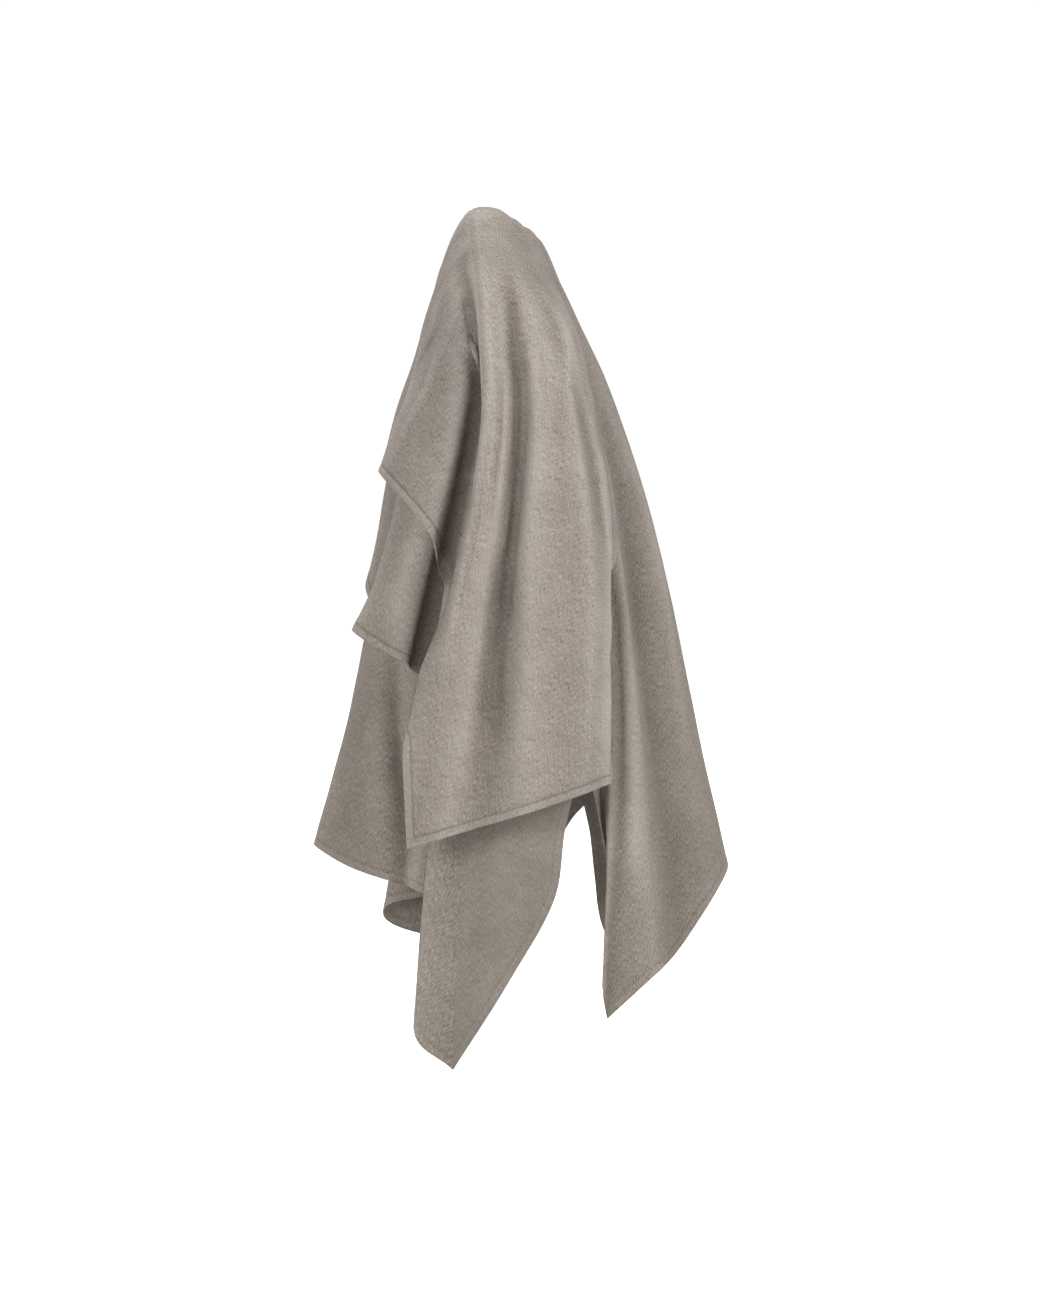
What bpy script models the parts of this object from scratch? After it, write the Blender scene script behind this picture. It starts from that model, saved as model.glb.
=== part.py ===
"""A wool poncho with a double scarf wrap, hollow and open as if worn.

Units are metres and +Z is up. The wearer would face -Y, and their left side is +X. The origin lies between
the shoulders, at the height where they carry the cloth. The tables are in millimetres and degrees. A drop is
measured down from the top of the collar, and an angle goes round the body: 0 is the left side, 90 is the
back, -90 is the front and 180 or -180 is the right side.
"""

from collections import namedtuple

import bmesh
import bpy
import numpy as np
from mathutils.bvhtree import BVHTree

MM = 0.001
CLOTH = 2.6
SEAM_GAP = 0.6
LAYER_GAP = 1.2
HOLD_DROP = 65.0

# The general figure with the poncho on it, as rings from the inside of the collar down to the tips.
# Each ring has its half width at the sides, how far back its sides sit, its reach to the front and to the
# back, and its drop at each of these places.
Ring = namedtuple("Ring", "side_x side_y side_drop front_y front_drop back_y back_drop")
RINGS = (
    (64, -28, 30, -58, 104, 19, 62),
    (73, -28, 8, -68, 76, 30, 34),
    (90, -27, 26, -78, 105, 45, 52),
    (128, -24, 52, -92, 146, 64, 86),
    (182, -18, 82, -106, 200, 92, 142),
    (218, -11, 128, -124, 262, 126, 215),
    (238, -4, 200, -139, 340, 155, 300),
    (250, 3, 300, -154, 430, 179, 390),
    (258, 8, 420, -178, 530, 202, 490),
    (264, 12, 550, -199, 635, 225, 600),
    (268, 14, 690, -226, 745, 251, 715),
    (272, 15, 840, -256, 865, 282, 845),
    (276, 16, 1000, -290, 1005, 314, 995),
    (280, 17, 1160, -325, 1160, 348, 1150),
)

# Fold tables. A row is one fold line from the collar down to the hem, in order round the body. It gives its
# angle at the collar, then its angle and its distance outside the figure at the upper and the middle height
# and at its foot, and the drop of its foot. None stands for a height below the foot.
UPPER_DROP = 220.0
MIDDLE_DROP = 460.0
Fold = namedtuple("Fold", "name top upper upper_out middle middle_out foot foot_out drop crisp")
FRONT_FOLDS = (
    ("far_seam", -186, -188, 0, -197.5, 0, -199.5, 10, 781, 0.0),
    ("far_side_high", -180, -182, -4, -190, -2, -196, 8, 798, 0.0),
    ("far_side_middle", -172, -173, -6, -182, -5, -190, 4, 841, 0.0),
    ("far_side_low", -165, -166, -8, -171, -10, -178, 1, 915, 0.0),
    ("far_tip", -157, -158, -10, -162, -14, -164.5, 7, 966, 0.0),
    ("far_outer_fold", -149, -150, -12, -147, -16, -144.5, 15, 918, 0.0),
    ("far_inner_fold", -143, -144, -14, -150, -42, -161, -58, 871, 0.0),
    ("far_pleat_edge", -136, -137, -15, -138, -34, -152, -48, 831, 0.0),
    ("far_valley", -126, -127, -14, -127, -28, -134, -40, 818, 0.0),
    ("far_ridge", -114, -114, -4, -113, 0, -116, 4, 810, 0.0),
    ("centre_valley", -104, -104, -8, -103, -14, -104, -20, 800, 0.0),
    ("centre", -94, -95, -5, -96, -5, -96, -2, 797, 0.0),
    ("corner", -80, -80, -5, -83, -6, -83.6, -2, 794, 0.0),
    ("front_face", -60, -58, -14, -67, -14, -63, -24, 806, 0.0),
    ("shade_valley", -50, -48, -22, -54, -36, -43, -28, 814, 0.0),
    ("near_pleat_edge", -43, -41, -29, -44, -60, -31, -20, 819, 0.0),
    ("near_inner_fold", -37, -35, -42, -33, -70, -10, -38, 872, 0.0),
    ("near_outer_fold", -31, -29, -46, -30, -58, -23, 15, 982, 0.0),
    ("near_tip", -24, -22, -48, -18, -46, -13.7, 16, 1027, 0.0),
    ("near_side_low", -16, -15, -42, -8, -36, -1.5, 15, 917, 0.0),
    ("near_side_middle", -8, -7, -30, 2, -26, 9.5, 17, 818, 0.0),
    ("near_side_high", 0, 2, -20, 9, -16, 13, 13, 738, 0.0),
    ("near_seam", 6, 8, -14, 17, -4, 20.2, 12, 640, 0.0),
)
BACK_FOLDS = (
    ("near_seam", 6, 8, -14, 17, -4, 20.2, 12, 640, 0.0),
    ("near_edge_fold", 18, 20, -7, 26.5, 6, 25.2, 4, 852, 0.0),
    ("near_side_low", 27, 27, -5, 30.5, 13, 19.0, 32, 927, 0.0),
    ("near_tip", 35, 33, -6, 33.5, 17, 19.6, 31, 964, 0.0),
    ("ridge", 43, 40, -5, 36, 27, 31.7, 40, 912, 0.6),
    ("valley", 56, 56, -8, 52, -10, 43, 10, 893, 0.0),
    ("blade_ridge", 70, 68, 0, 67, 11, 60, 12, 838, 0.0),
    ("corner", 86, 84, -1, 85.5, 3, 81.7, 5, 812, 0.0),
    ("centre_valley", 99, 98, -6, 98, -12, 97, -18, 815, 0.0),
    ("centre_ridge", 110, 109, 0, 111, 6, 110, 10, 820, 0.0),
    ("far_valley", 122, 121, -10, 123, -20, 124, -24, 840, 0.0),
    ("far_ridge", 136, 135, -3, 138, 12, 138, 20, 890, 0.3),
    ("far_tip", 147, 146, -4, 149, 8, 151.8, 20, 1000, 0.0),
    ("far_side_low", 154, 153, -5, 156, 4, 157.6, 9, 943, 0.0),
    ("far_side_middle", 161, 160, -3, 159, 2, 158.7, 9.5, 879, 0.0),
    ("far_side_high", 168, 166, -1, 161, 2, 159.3, 11, 820, 0.0),
    ("far_seam", 174, 172, 0, 162.5, 0, 160.5, 10, 781, 0.0),
)
UNDER_FOLDS = (
    ("right_seam", -184, None, None, None, None, -186, 3.2, 150, 0.0),
    ("gather_1", -166, None, None, None, None, -167, 5, 200, 0.0),
    ("gather_2", -146, -146, 4, None, None, -147, 6, 270, 0.0),
    ("gather_3", -122, -122, 3, None, None, -123, 8, 360, 0.0),
    ("breast", -98, -99, 4, None, None, -100, 8, 440, 0.0),
    ("centre", -86, -84, 4, None, None, -85.5, 9, 468, 0.0),
    ("hollow", -74, -68, -9, None, None, -76.6, 2, 488, 0.0),
    ("fold", -62, -58, -5, -61, 12, -64.4, 25, 515, 0.5),
    ("face", -50, -43, -19, -48, -2, -50.5, -4, 540, 0.0),
    ("valley_lip", -40, -34, -27, -42, -20, -45, -16, 550, 0.0),
    ("valley", -30, -26, -37, -38, -46, -42, -40, 570, 0.0),
    ("hidden_edge", -14, -8, -22, -14, -32, -18, -32, 590, 0.0),
)
OVER_FOLDS = (
    ("right_seam", -184, None, None, None, None, -186, 6.4, 125, 0.0),
    ("gather_1", -168, None, None, None, None, -168, 9, 150, 0.0),
    ("gather_2", -150, None, None, None, None, -150, 9, 190, 0.0),
    ("gather_3", -128, None, None, None, None, -130, 11, 236, 0.0),
    ("breast", -98, -99, 10, None, None, -100, 14, 292, 0.0),
    ("centre", -86, -84, 10, None, None, -85, 14, 314, 0.0),
    ("front_hollow", -74, -68, -4, None, None, -75, 6, 316, 0.0),
    ("front_fold", -62, -58, 12, None, None, -64.4, 26, 321, 0.6),
    ("front_face", -49, -42, -9, None, None, -48, 11, 352, 0.0),
    ("valley_lip", -38, -27, -17, None, None, -36.5, -8, 392, 0.0),
    ("deep_valley", -29, -18, -29, None, None, -36, -38, 459, 0.0),
    ("valley_wall", -20, -10, -25, -24, -36, -34, -10, 578, 0.0),
    ("left_ridge", -12, -8.5, 8, -21, 24, -28.6, 46, 634, 0.5),
    ("left_corner", -4, -3.5, 9, -15, 25, -25.5, 46, 761, 0.0),
    ("left_face", 4, 1.7, 4, -8.5, 17, -17, 43, 746, 0.0),
    ("soft_valley", 13, 7, -14, -2.6, -5, -8.8, 33, 733, 0.0),
    ("middle_face", 24, 13, 14, 4.6, 39, 3.2, 53, 712, 0.0),
    ("bright_ridge", 42, 23.6, 30, 20.6, 59, 16, 58, 690, 0.7),
    ("right_fold", 55, 30, 19, 25, 47, 21.7, 54, 681, 0.3),
    ("back_hem", 70, 37.4, 12, 26, 12, 23.8, 51, 680, 0.0),
)
# Some lines need more heights: below the shoulder, where the thrown end's folds begin, and where its back
# hem turns behind its right fold and out again. Each has the drop, the angle and the distance outside.
MORE_KNOTS = {
    "deep_valley": ((150, -19.5, -3), (330, -26, -33)),
    "valley_wall": ((150, -12.5, -8),),
    "left_ridge": ((150, -8.5, 7.5), (570, -28, 40)),
    "soft_valley": ((150, 9, -2),),
    "middle_face": ((150, 17, 10),),
    "bright_ridge": ((150, 30, 17),),
    "right_fold": ((600, 23.2, 54),),
    "back_hem": ((415, 31, 38), (600, 23.5, 28)),
}
# The lines along which the cloth is folded back on itself, and the width of such a fold where it is sharp
# and where it is flat.
BACK_FOLDED = ("near_inner_fold", "near_outer_fold", "far_inner_fold", "far_outer_fold")
SHARP_FOLD = 7.0
FLAT_FOLD = 1.6
# The lines that end in a corner of the cut cloth, or at the top of a side slit, where the hem turns sharply.
CORNERS = ("near_seam", "far_seam", "near_tip", "far_tip", "left_corner", "back_hem")
CORNER_FROM = 0.7

# Sheets of cloth: the distance of each outside the figure at the collar, the rings that its upper edge
# follows at the sides, the front and the back, the steps of cloth down it, how much closer together they
# are at the collar, and the depth of its soft draped folds from the right shoulder across the chest.
Layer = namedtuple("Layer", "collar_out side_ring front_ring back_ring steps_down closer_above drape")
LAYERS = {
    "body": Layer(0.0, 1.5, 3.2, 1.4, 20, 1.4, 0.0),
    "under_wrap": Layer(2.6, 1.2, 1.5, 1.2, 16, 1.5, 4.0),
    "over_wrap": Layer(8.0, 0.0, 0.0, 2.2, 20, 1.5, 5.0),
}
SHOULDER_RING = 3.4
STEP_ACROSS = 34.0
LINE_SAMPLES = 120
HALVINGS = 30
FEWEST_STEPS = 2
SHORTEST_CHORD = 1.0
FOLD_ROUNDNESS = 0.6
DRAPE_WAVES = 2.5
DRAPE_FROM = -178.0
DRAPE_TO = -96.0

# Where one sheet lies over another, the lower one is pressed in.
PRESS_ROUNDS = 12
PRESS_REACH = 12.0
PRESS_SPREAD = 0.85
SMOOTHINGS = 3
SETTLED = 0.02
STRAIGHT_OVER = 0.7
SAME_WAY = 0.5
RAY_START = 0.3
RAY_REACH = 8.0
ROOM_SHARE = 0.35

WOOL_ROUGHNESS = 0.95
WOOL_COLOURS = {
    "front_panel": (0.27, 0.24, 0.21),
    "back_panel": (0.29, 0.26, 0.23),
    "under_wrap": (0.32, 0.29, 0.26),
    "over_wrap": (0.33, 0.30, 0.27),
}
SHARP_FROM = 50.0


def between(positions, values, at):
    """Smooth values at the places asked for, through the given ones and never past them."""
    positions = np.asarray(positions, float)
    values = np.asarray(values, float)
    gaps = np.diff(positions)
    slopes = np.diff(values) / gaps
    tangents = np.zeros(len(values))
    tangents[0], tangents[-1] = slopes[0], slopes[-1]
    for i in range(1, len(values) - 1):
        if slopes[i - 1] * slopes[i] > 0:
            tangents[i] = 2 * slopes[i - 1] * slopes[i] / (slopes[i - 1] + slopes[i])
    i = np.clip(np.searchsorted(positions, at) - 1, 0, len(gaps) - 1)
    f = (at - positions[i]) / gaps[i]
    rise = (3 - 2 * f) * f * f
    start = f * (1 - f) ** 2 * gaps[i] * tangents[i]
    end = f * f * (f - 1) * gaps[i] * tangents[i + 1]
    return values[i] + (values[i + 1] - values[i]) * rise + start + end


def ring_at(place):
    """The figure's ring at a place between two rows of the table, by smooth interpolation."""
    rings = np.array(RINGS, float)
    last = len(rings) - 1
    i = np.clip(np.floor(place).astype(int), 0, last - 1)
    f = (place - i)[..., None]
    before, low, high, after = (rings[np.clip(i + k, 0, last)] for k in (-1, 0, 1, 2))
    bend_low, bend_high = (high - before) / 2, (after - low) / 2
    rise = (3 - 2 * f) * f * f
    return low + (high - low) * rise + f * (1 - f) ** 2 * bend_low + f * f * (f - 1) * bend_high


def figure_point(place, angle):
    """A point on the figure, in millimetres with z as minus the drop."""
    ring = Ring(*np.moveaxis(ring_at(place), -1, 0))
    turn = np.radians(angle)
    across, along = np.cos(turn), np.sin(turn)
    reach = np.where(along > 0, ring.back_y, ring.front_y)
    reach_drop = np.where(along > 0, ring.back_drop, ring.front_drop)
    x = ring.side_x * across
    y = ring.side_y + (reach - ring.side_y) * np.abs(along)
    drop = ring.side_drop * across**2 + reach_drop * along**2
    return np.stack([x, y, -drop], axis=-1)


def figure_out(place, angle, out):
    """A point at a distance outside the figure."""
    ring_step, angle_step = 0.001, 0.05
    down = figure_point(place + ring_step, angle) - figure_point(place - ring_step, angle)
    round_body = figure_point(place, angle + angle_step) - figure_point(place, angle - angle_step)
    normal = np.cross(down, round_body)
    normal /= np.linalg.norm(normal, axis=-1, keepdims=True)
    return figure_point(place, angle) + normal * np.asarray(out)[..., None]


def ring_of_drop(drop, angle, out):
    """The place on the figure at which a point this far outside it hangs at the given drop."""
    low, high = 1.0, len(RINGS) - 1.01
    for _ in range(HALVINGS):
        middle = (low + high) / 2
        hangs = -figure_out(np.array(middle), np.array(angle, float), np.array(out, float))[2]
        low, high = (middle, high) if hangs < drop else (low, middle)
    return (low + high) / 2


def fold_line(row, layer):
    """The points of one fold line from the sheet's upper edge to its hem, closer together at the collar."""
    frontal = max(0.0, -np.sin(np.radians(row.top))) ** 3
    rearward = max(0.0, np.sin(np.radians(row.top))) ** 3
    side = layer.side_ring
    start = side + (layer.front_ring - side) * frontal + (layer.back_ring - side) * rearward
    knots = [(start, row.top, layer.collar_out)]
    if row.upper is not None:
        knots.append((ring_of_drop(UPPER_DROP, row.upper, row.upper_out), row.upper, row.upper_out))
    if row.middle is not None:
        knots.append((ring_of_drop(MIDDLE_DROP, row.middle, row.middle_out), row.middle, row.middle_out))
    for drop, angle, out in MORE_KNOTS.get(row.name, ()):
        knots.append((ring_of_drop(drop, angle, out), angle, out))
    knots.append((ring_of_drop(row.drop, row.foot, row.foot_out), row.foot, row.foot_out))
    knots.sort()
    if knots[1][0] > SHOULDER_RING:
        share = (SHOULDER_RING - start) / (knots[1][0] - start)
        angle = row.top + (knots[1][1] - row.top) * share
        knots.insert(1, (SHOULDER_RING, angle, layer.collar_out))
    places, angles, outs = np.array(knots).T
    fine = np.linspace(places[0], places[-1], LINE_SAMPLES)
    turn = between(places, angles, fine)
    down = (fine - places[0]) / (places[-1] - places[0])
    across = np.clip((turn - DRAPE_FROM) / (DRAPE_TO - DRAPE_FROM), 0, 1)
    swell = layer.drape * np.sin(np.pi * across) * np.sin(np.pi * down)
    wave = swell * np.cos(2 * np.pi * DRAPE_WAVES * down)
    line = figure_out(fine, turn, between(places, outs, fine) + wave)
    length = np.concatenate([[0.0], np.cumsum(np.linalg.norm(np.diff(line, axis=0), axis=1))])
    even = length[-1] * np.linspace(0, 1, layer.steps_down + 1) ** layer.closer_above
    return np.stack([np.interp(even, length, line[:, k]) for k in range(3)], axis=-1)


def sheet_points(lines, rows):
    """A grid of points through neighbouring fold lines, and the number of the grid column on each line."""
    lines = np.array(lines)
    down = np.linspace(0, 1, lines.shape[1])
    turned = np.clip((down - CORNER_FROM) / (1 - CORNER_FROM), 0, 1)
    at_corner = np.array([turned * (row.name in CORNERS) for row in rows])
    crisp = np.array([np.full(len(down), row.crisp) for row in rows])
    sharp = np.maximum(crisp, at_corner)[:, :, None]
    chords = np.linalg.norm(np.diff(lines, axis=0), axis=2)
    gaps = np.sqrt(np.maximum(chords, SHORTEST_CHORD))[:, :, None]
    slopes = np.diff(lines, axis=0) / gaps
    soft = np.empty_like(lines)
    soft[0], soft[-1] = slopes[0], slopes[-1]
    soft[1:-1] = (slopes[:-1] * gaps[1:] + slopes[1:] * gaps[:-1]) / (gaps[:-1] + gaps[1:])
    length = np.linalg.norm(slopes, axis=2, keepdims=True)
    mean_length = (length[:-1] + length[1:]) / 2
    soft_length = np.linalg.norm(soft[1:-1], axis=2, keepdims=True)
    half_fold = np.zeros_like(lines)
    for i, row in enumerate(rows):
        if row.name in BACK_FOLDED:
            straight = soft_length[i - 1] / mean_length[i - 1]
            soft[i] *= 1 + FOLD_ROUNDNESS * (1 / straight - 1)
            direction = soft[i] / np.linalg.norm(soft[i], axis=1, keepdims=True)
            half_fold[i] = direction * (SHARP_FOLD + (FLAT_FOLD - SHARP_FOLD) * straight) / 2
    leaving = soft[:-1] * (1 - sharp[:-1]) + slopes * sharp[:-1]
    arriving = soft[1:] * (1 - sharp[1:]) + slopes * sharp[1:]
    columns, on_line = [lines[0]], [0]
    for i, gap in enumerate(gaps):
        steps = max(FEWEST_STEPS, int(round(chords[i].max() / STEP_ACROSS)))
        for f in np.arange(1, steps + 1) / steps:
            rise = (3 - 2 * f) * f * f
            bend = f * (1 - f) ** 2 * gap * leaving[i] + f * f * (f - 1) * gap * arriving[i]
            start, end = lines[i] + half_fold[i], lines[i + 1] - half_fold[i + 1]
            columns.append(start + (end - start) * rise + bend)
        on_line.append(len(columns) - 1)
        if half_fold[i + 1].any():
            columns.append(lines[i + 1] + half_fold[i + 1])
    return np.array(columns), on_line


def cloth_normals(points):
    """Unit normals of a grid whose columns run down and follow each other round the body.

    The collar's edge is cut square, so its normals are those of the row below it.
    """
    across = np.gradient(points, axis=0)
    down = np.gradient(points, axis=1)
    normals = np.cross(down, across)
    normals /= np.linalg.norm(normals, axis=2, keepdims=True)
    normals[:, 0] = normals[:, 1]
    return normals


def tree_of(points):
    """The sheet through a grid of points, for finding the nearest place on it, and its triangles."""
    number = np.arange(points.shape[0] * points.shape[1]).reshape(points.shape[:2])
    a, b, c, d = number[:-1, :-1], number[:-1, 1:], number[1:, 1:], number[1:, :-1]
    halves = [np.stack(corners, -1).reshape(-1, 3) for corners in ((a, b, c), (a, c, d))]
    triangles = np.concatenate(halves)
    return BVHTree.FromPolygons(points.reshape(-1, 3).tolist(), triangles.tolist()), triangles


def room_wanted(point, normal, tree, side):
    """How much further from a sheet, on one side of it, a point has to lie, and where the sheet faces."""
    near, facing, triangle, distance = tree.find_nearest(point, PRESS_REACH)
    if near is None or normal @ np.array(facing) < SAME_WAY:
        return 0.0, None, None
    height = float((point - np.array(near)) @ np.array(facing))
    if distance > CLOTH and abs(height) < STRAIGHT_OVER * distance:
        return 0.0, None, None
    return CLOTH + LAYER_GAP - side * height, np.array(facing), triangle


def press_in(inner, outer, normals_of):
    """Moves an inner sheet away from the one over it until there is room for both walls."""
    inner = inner.copy()
    outer_tree, _ = tree_of(outer)
    outer_normals = cloth_normals(outer)
    for _ in range(PRESS_ROUNDS):
        normals = normals_of(inner)
        moves = np.zeros_like(inner)
        for place in np.ndindex(inner.shape[:2]):
            wanted, facing, _ = room_wanted(inner[place], normals[place], outer_tree, -1)
            if wanted > 0:
                moves[place] = -wanted * facing
        inner_tree, triangles = tree_of(inner)
        flat_moves = moves.reshape(-1, 3)
        for place in np.ndindex(outer.shape[:2]):
            wanted, facing, triangle = room_wanted(outer[place], outer_normals[place], inner_tree, 1)
            if wanted > 0:
                for corner in triangles[triangle]:
                    if np.linalg.norm(flat_moves[corner]) < wanted:
                        flat_moves[corner] = -wanted * facing
        if np.abs(moves).max() < SETTLED:
            break
        for _ in range(SMOOTHINGS):
            if normals_of is round_normals:
                larger = np.linalg.norm(moves[0], axis=1) > np.linalg.norm(moves[-1], axis=1)
                moves[0] = moves[-1] = np.where(larger[:, None], moves[0], moves[-1])
            around = np.pad(moves, ((1, 1), (1, 1), (0, 0)), mode="edge")
            mean = (around[:-2, 1:-1] + around[2:, 1:-1] + around[1:-1, :-2] + around[1:-1, 2:]) / 4
            weaker = np.linalg.norm(moves, axis=2) < PRESS_SPREAD * np.linalg.norm(mean, axis=2)
            moves[weaker] = PRESS_SPREAD * mean[weaker]
        inner += moves
    return inner


def pull_in(points, normals, edge, neighbour):
    """Moves one edge of a panel half a seam's gap back into the panel, along the cloth."""
    across = np.cross(np.gradient(points[edge], axis=0), normals[edge])
    across /= np.linalg.norm(across, axis=1, keepdims=True)
    side = np.sign(np.sum(across * (points[neighbour] - points[edge])))
    points[edge] += across * side * (SEAM_GAP / 2)


def body_sheet():
    """The body as one sheet closed round the figure, and the numbers of its seam columns."""
    rows = [Fold(*row) for row in (*FRONT_FOLDS, *BACK_FOLDS[1:-1])]
    lines = [fold_line(row, LAYERS["body"]) for row in rows]
    lines = [lines[-1], *lines, lines[0], lines[1]]
    points, on_line = sheet_points(lines, [rows[-1], *rows, rows[0], rows[1]])
    first = on_line[1]
    return points[first : on_line[-2] + 1], on_line[len(FRONT_FOLDS)] - first


def round_normals(points):
    """Normals of the closed sheet, which agree where its ends meet."""
    ring = np.concatenate([points[-2:-1], points, points[1:2]])
    return cloth_normals(ring)[1:-1]


def wrap_sheet(name, folds):
    rows = [Fold(*row) for row in folds]
    points, _ = sheet_points([fold_line(row, LAYERS[name]) for row in rows], rows)
    return points


def panels():
    """The points and normals of every panel, by name."""
    over = wrap_sheet("over_wrap", OVER_FOLDS)
    under = press_in(wrap_sheet("under_wrap", UNDER_FOLDS), over, cloth_normals)
    body, near_seam = body_sheet()
    for sheet in (under, over, under):
        body = press_in(body, sheet, round_normals)
    normals = round_normals(body)
    made = {"over_wrap": (over, cloth_normals(over)), "under_wrap": (under, cloth_normals(under))}
    for name, kept in (("front_panel", slice(0, near_seam + 1)), ("back_panel", slice(near_seam, None))):
        points, turned = body[kept].copy(), normals[kept]
        pull_in(points, turned, 0, 1)
        pull_in(points, turned, -1, -2)
        made[name] = (points, turned)
    return made


def room_beside(points, normals, tree):
    """How thick the wall may be on one side of each point: less where the cloth lies folded on itself."""
    room = np.full(points.shape[:2], CLOTH / 2)
    for place in np.ndindex(room.shape):
        start = points[place] + normals[place] * RAY_START
        distance = tree.ray_cast(start, normals[place], RAY_REACH)[3]
        if distance is not None:
            room[place] = min(CLOTH / 2, ROOM_SHARE * (distance + RAY_START))
    return room


def wool(name):
    material = bpy.data.materials.new(name + "_wool")
    material.use_nodes = True
    surface = material.node_tree.nodes["Principled BSDF"]
    surface.inputs["Base Color"].default_value = (*WOOL_COLOURS[name], 1.0)
    surface.inputs["Roughness"].default_value = WOOL_ROUGHNESS
    surface.inputs["Metallic"].default_value = 0.0
    return material


def cloth_wall(name, points, normals):
    """One closed wall of cloth: a grid laid on its inner side, extruded to its outer side."""
    across, down = points.shape[0] - 1, points.shape[1] - 1
    tree, _ = tree_of(points)
    outwards, inwards = room_beside(points, normals, tree), room_beside(points, -normals, tree)
    bm = bmesh.new()
    bmesh.ops.create_grid(bm, x_segments=across, y_segments=down, size=1)
    column = bm.verts.layers.int.new("column")
    row = bm.verts.layers.int.new("row")
    for vert in bm.verts:
        vert[column] = round((vert.co.x + 1) / 2 * across)
        vert[row] = round((vert.co.y + 1) / 2 * down)
    bmesh.ops.triangulate(bm, faces=bm.faces[:], quad_method="FIXED")
    grown = bmesh.ops.extrude_face_region(bm, geom=bm.faces[:])["geom"]
    outer = {item for item in grown if isinstance(item, bmesh.types.BMVert)}
    hold = np.array([0.0, 0.0, HOLD_DROP])
    for vert in bm.verts:
        place = (vert[column], vert[row])
        side = outwards[place] if vert in outer else -inwards[place]
        vert.co = (points[place] + normals[place] * side + hold) * MM
    bmesh.ops.recalc_face_normals(bm, faces=bm.faces[:])
    mesh = bpy.data.meshes.new(name)
    bm.to_mesh(mesh)
    bm.free()
    mesh.shade_smooth()
    mesh.set_sharp_from_angle(angle=np.radians(SHARP_FROM))
    mesh.materials.append(wool(name))
    piece = bpy.data.objects.new(name, mesh)
    bpy.context.scene.collection.objects.link(piece)
    return piece


def main():
    for old in list(bpy.data.objects):
        bpy.data.objects.remove(old)
    for name, (points, normals) in panels().items():
        cloth_wall(name, points, normals)


main()
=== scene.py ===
# %% [markdown]
# # A wool poncho with a scarf wrap
# The garment is a sleeveless poncho of two panels, with a long wide scarf of the same cloth wound over the
# chest and thrown over the left shoulder. It stands hollow and open, and its hidden parts are finished too.
# Each cell below first says what a piece or finish is on the real garment, then makes it.
# +Z is up, the front is -Y and the garment's left side is +X. Tables are in millimetres and degrees. A drop
# is measured down from the top of the collar, and an angle goes round the garment: 0 is the left side, 90 the
# back, -90 the front and 180 or -180 the right side.

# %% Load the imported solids
from collections import namedtuple

import bmesh
import bpy
import numpy as np
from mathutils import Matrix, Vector, noise
from mathutils.bvhtree import BVHTree
from mathutils.kdtree import KDTree


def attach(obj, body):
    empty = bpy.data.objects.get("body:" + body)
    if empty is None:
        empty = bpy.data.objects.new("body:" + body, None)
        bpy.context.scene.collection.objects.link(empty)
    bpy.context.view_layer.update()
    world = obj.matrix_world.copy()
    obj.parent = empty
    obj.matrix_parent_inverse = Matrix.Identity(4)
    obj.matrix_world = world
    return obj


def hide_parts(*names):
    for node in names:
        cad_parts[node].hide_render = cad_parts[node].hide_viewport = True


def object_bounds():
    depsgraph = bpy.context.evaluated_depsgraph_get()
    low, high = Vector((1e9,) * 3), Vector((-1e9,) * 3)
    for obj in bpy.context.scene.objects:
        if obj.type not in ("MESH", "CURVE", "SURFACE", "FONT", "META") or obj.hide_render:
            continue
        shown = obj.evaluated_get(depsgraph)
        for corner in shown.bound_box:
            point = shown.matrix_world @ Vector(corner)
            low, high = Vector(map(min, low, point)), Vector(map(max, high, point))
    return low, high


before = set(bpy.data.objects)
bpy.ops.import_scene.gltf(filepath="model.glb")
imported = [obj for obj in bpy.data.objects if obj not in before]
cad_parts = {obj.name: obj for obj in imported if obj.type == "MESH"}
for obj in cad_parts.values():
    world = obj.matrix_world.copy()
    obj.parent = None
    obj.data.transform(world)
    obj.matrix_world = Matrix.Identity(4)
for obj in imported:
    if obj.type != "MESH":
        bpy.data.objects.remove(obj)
CAD_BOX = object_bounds()
print("solids:", sorted(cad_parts), "box:", CAD_BOX)

# %% [markdown]
# ## The rings that the cloth hangs on
# Cloth has no shape of its own, so a maker drapes it on a stand. This one is never built: it is a table of
# rings, from the inside of the collar down to the tips. A ring has its half width at the sides, how far back
# its sides sit, its reach to the front and the back, and its drop at each of these places. Smooth
# interpolation between the rings gives a point at any height and angle.

# %% The stand's rings
MM = 0.001
HOLD_DROP = 65.0
Ring = namedtuple("Ring", "side_x side_y side_drop front_y front_drop back_y back_drop")

RINGS = (
    (64, -28, 30, -58, 104, 19, 62),
    (73, -28, 8, -68, 76, 30, 34),
    (90, -27, 26, -78, 105, 45, 52),
    (128, -24, 52, -92, 146, 64, 86),
    (182, -18, 82, -106, 200, 92, 142),
    (218, -11, 128, -124, 262, 126, 215),
    (238, -4, 200, -139, 340, 155, 300),
    (250, 3, 300, -154, 430, 179, 390),
    (258, 8, 420, -178, 530, 202, 490),
    (264, 12, 550, -199, 635, 225, 600),
    (268, 14, 690, -226, 745, 251, 715),
    (272, 15, 840, -256, 865, 282, 845),
    (276, 16, 1000, -290, 1005, 314, 995),
    (280, 17, 1160, -325, 1160, 348, 1150),
)


def ring_at(place):
    """The stand's ring at a place between two rows of the table."""
    rings = np.array(RINGS, float)
    last = len(rings) - 1
    i = np.clip(np.floor(place).astype(int), 0, last - 1)
    f = (place - i)[..., None]
    before, low, high, after = (rings[np.clip(i + k, 0, last)] for k in (-1, 0, 1, 2))
    bend_low, bend_high = (high - before) / 2, (after - low) / 2
    rise = (3 - 2 * f) * f * f
    return low + (high - low) * rise + f * (1 - f) ** 2 * bend_low + f * f * (f - 1) * bend_high


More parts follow.
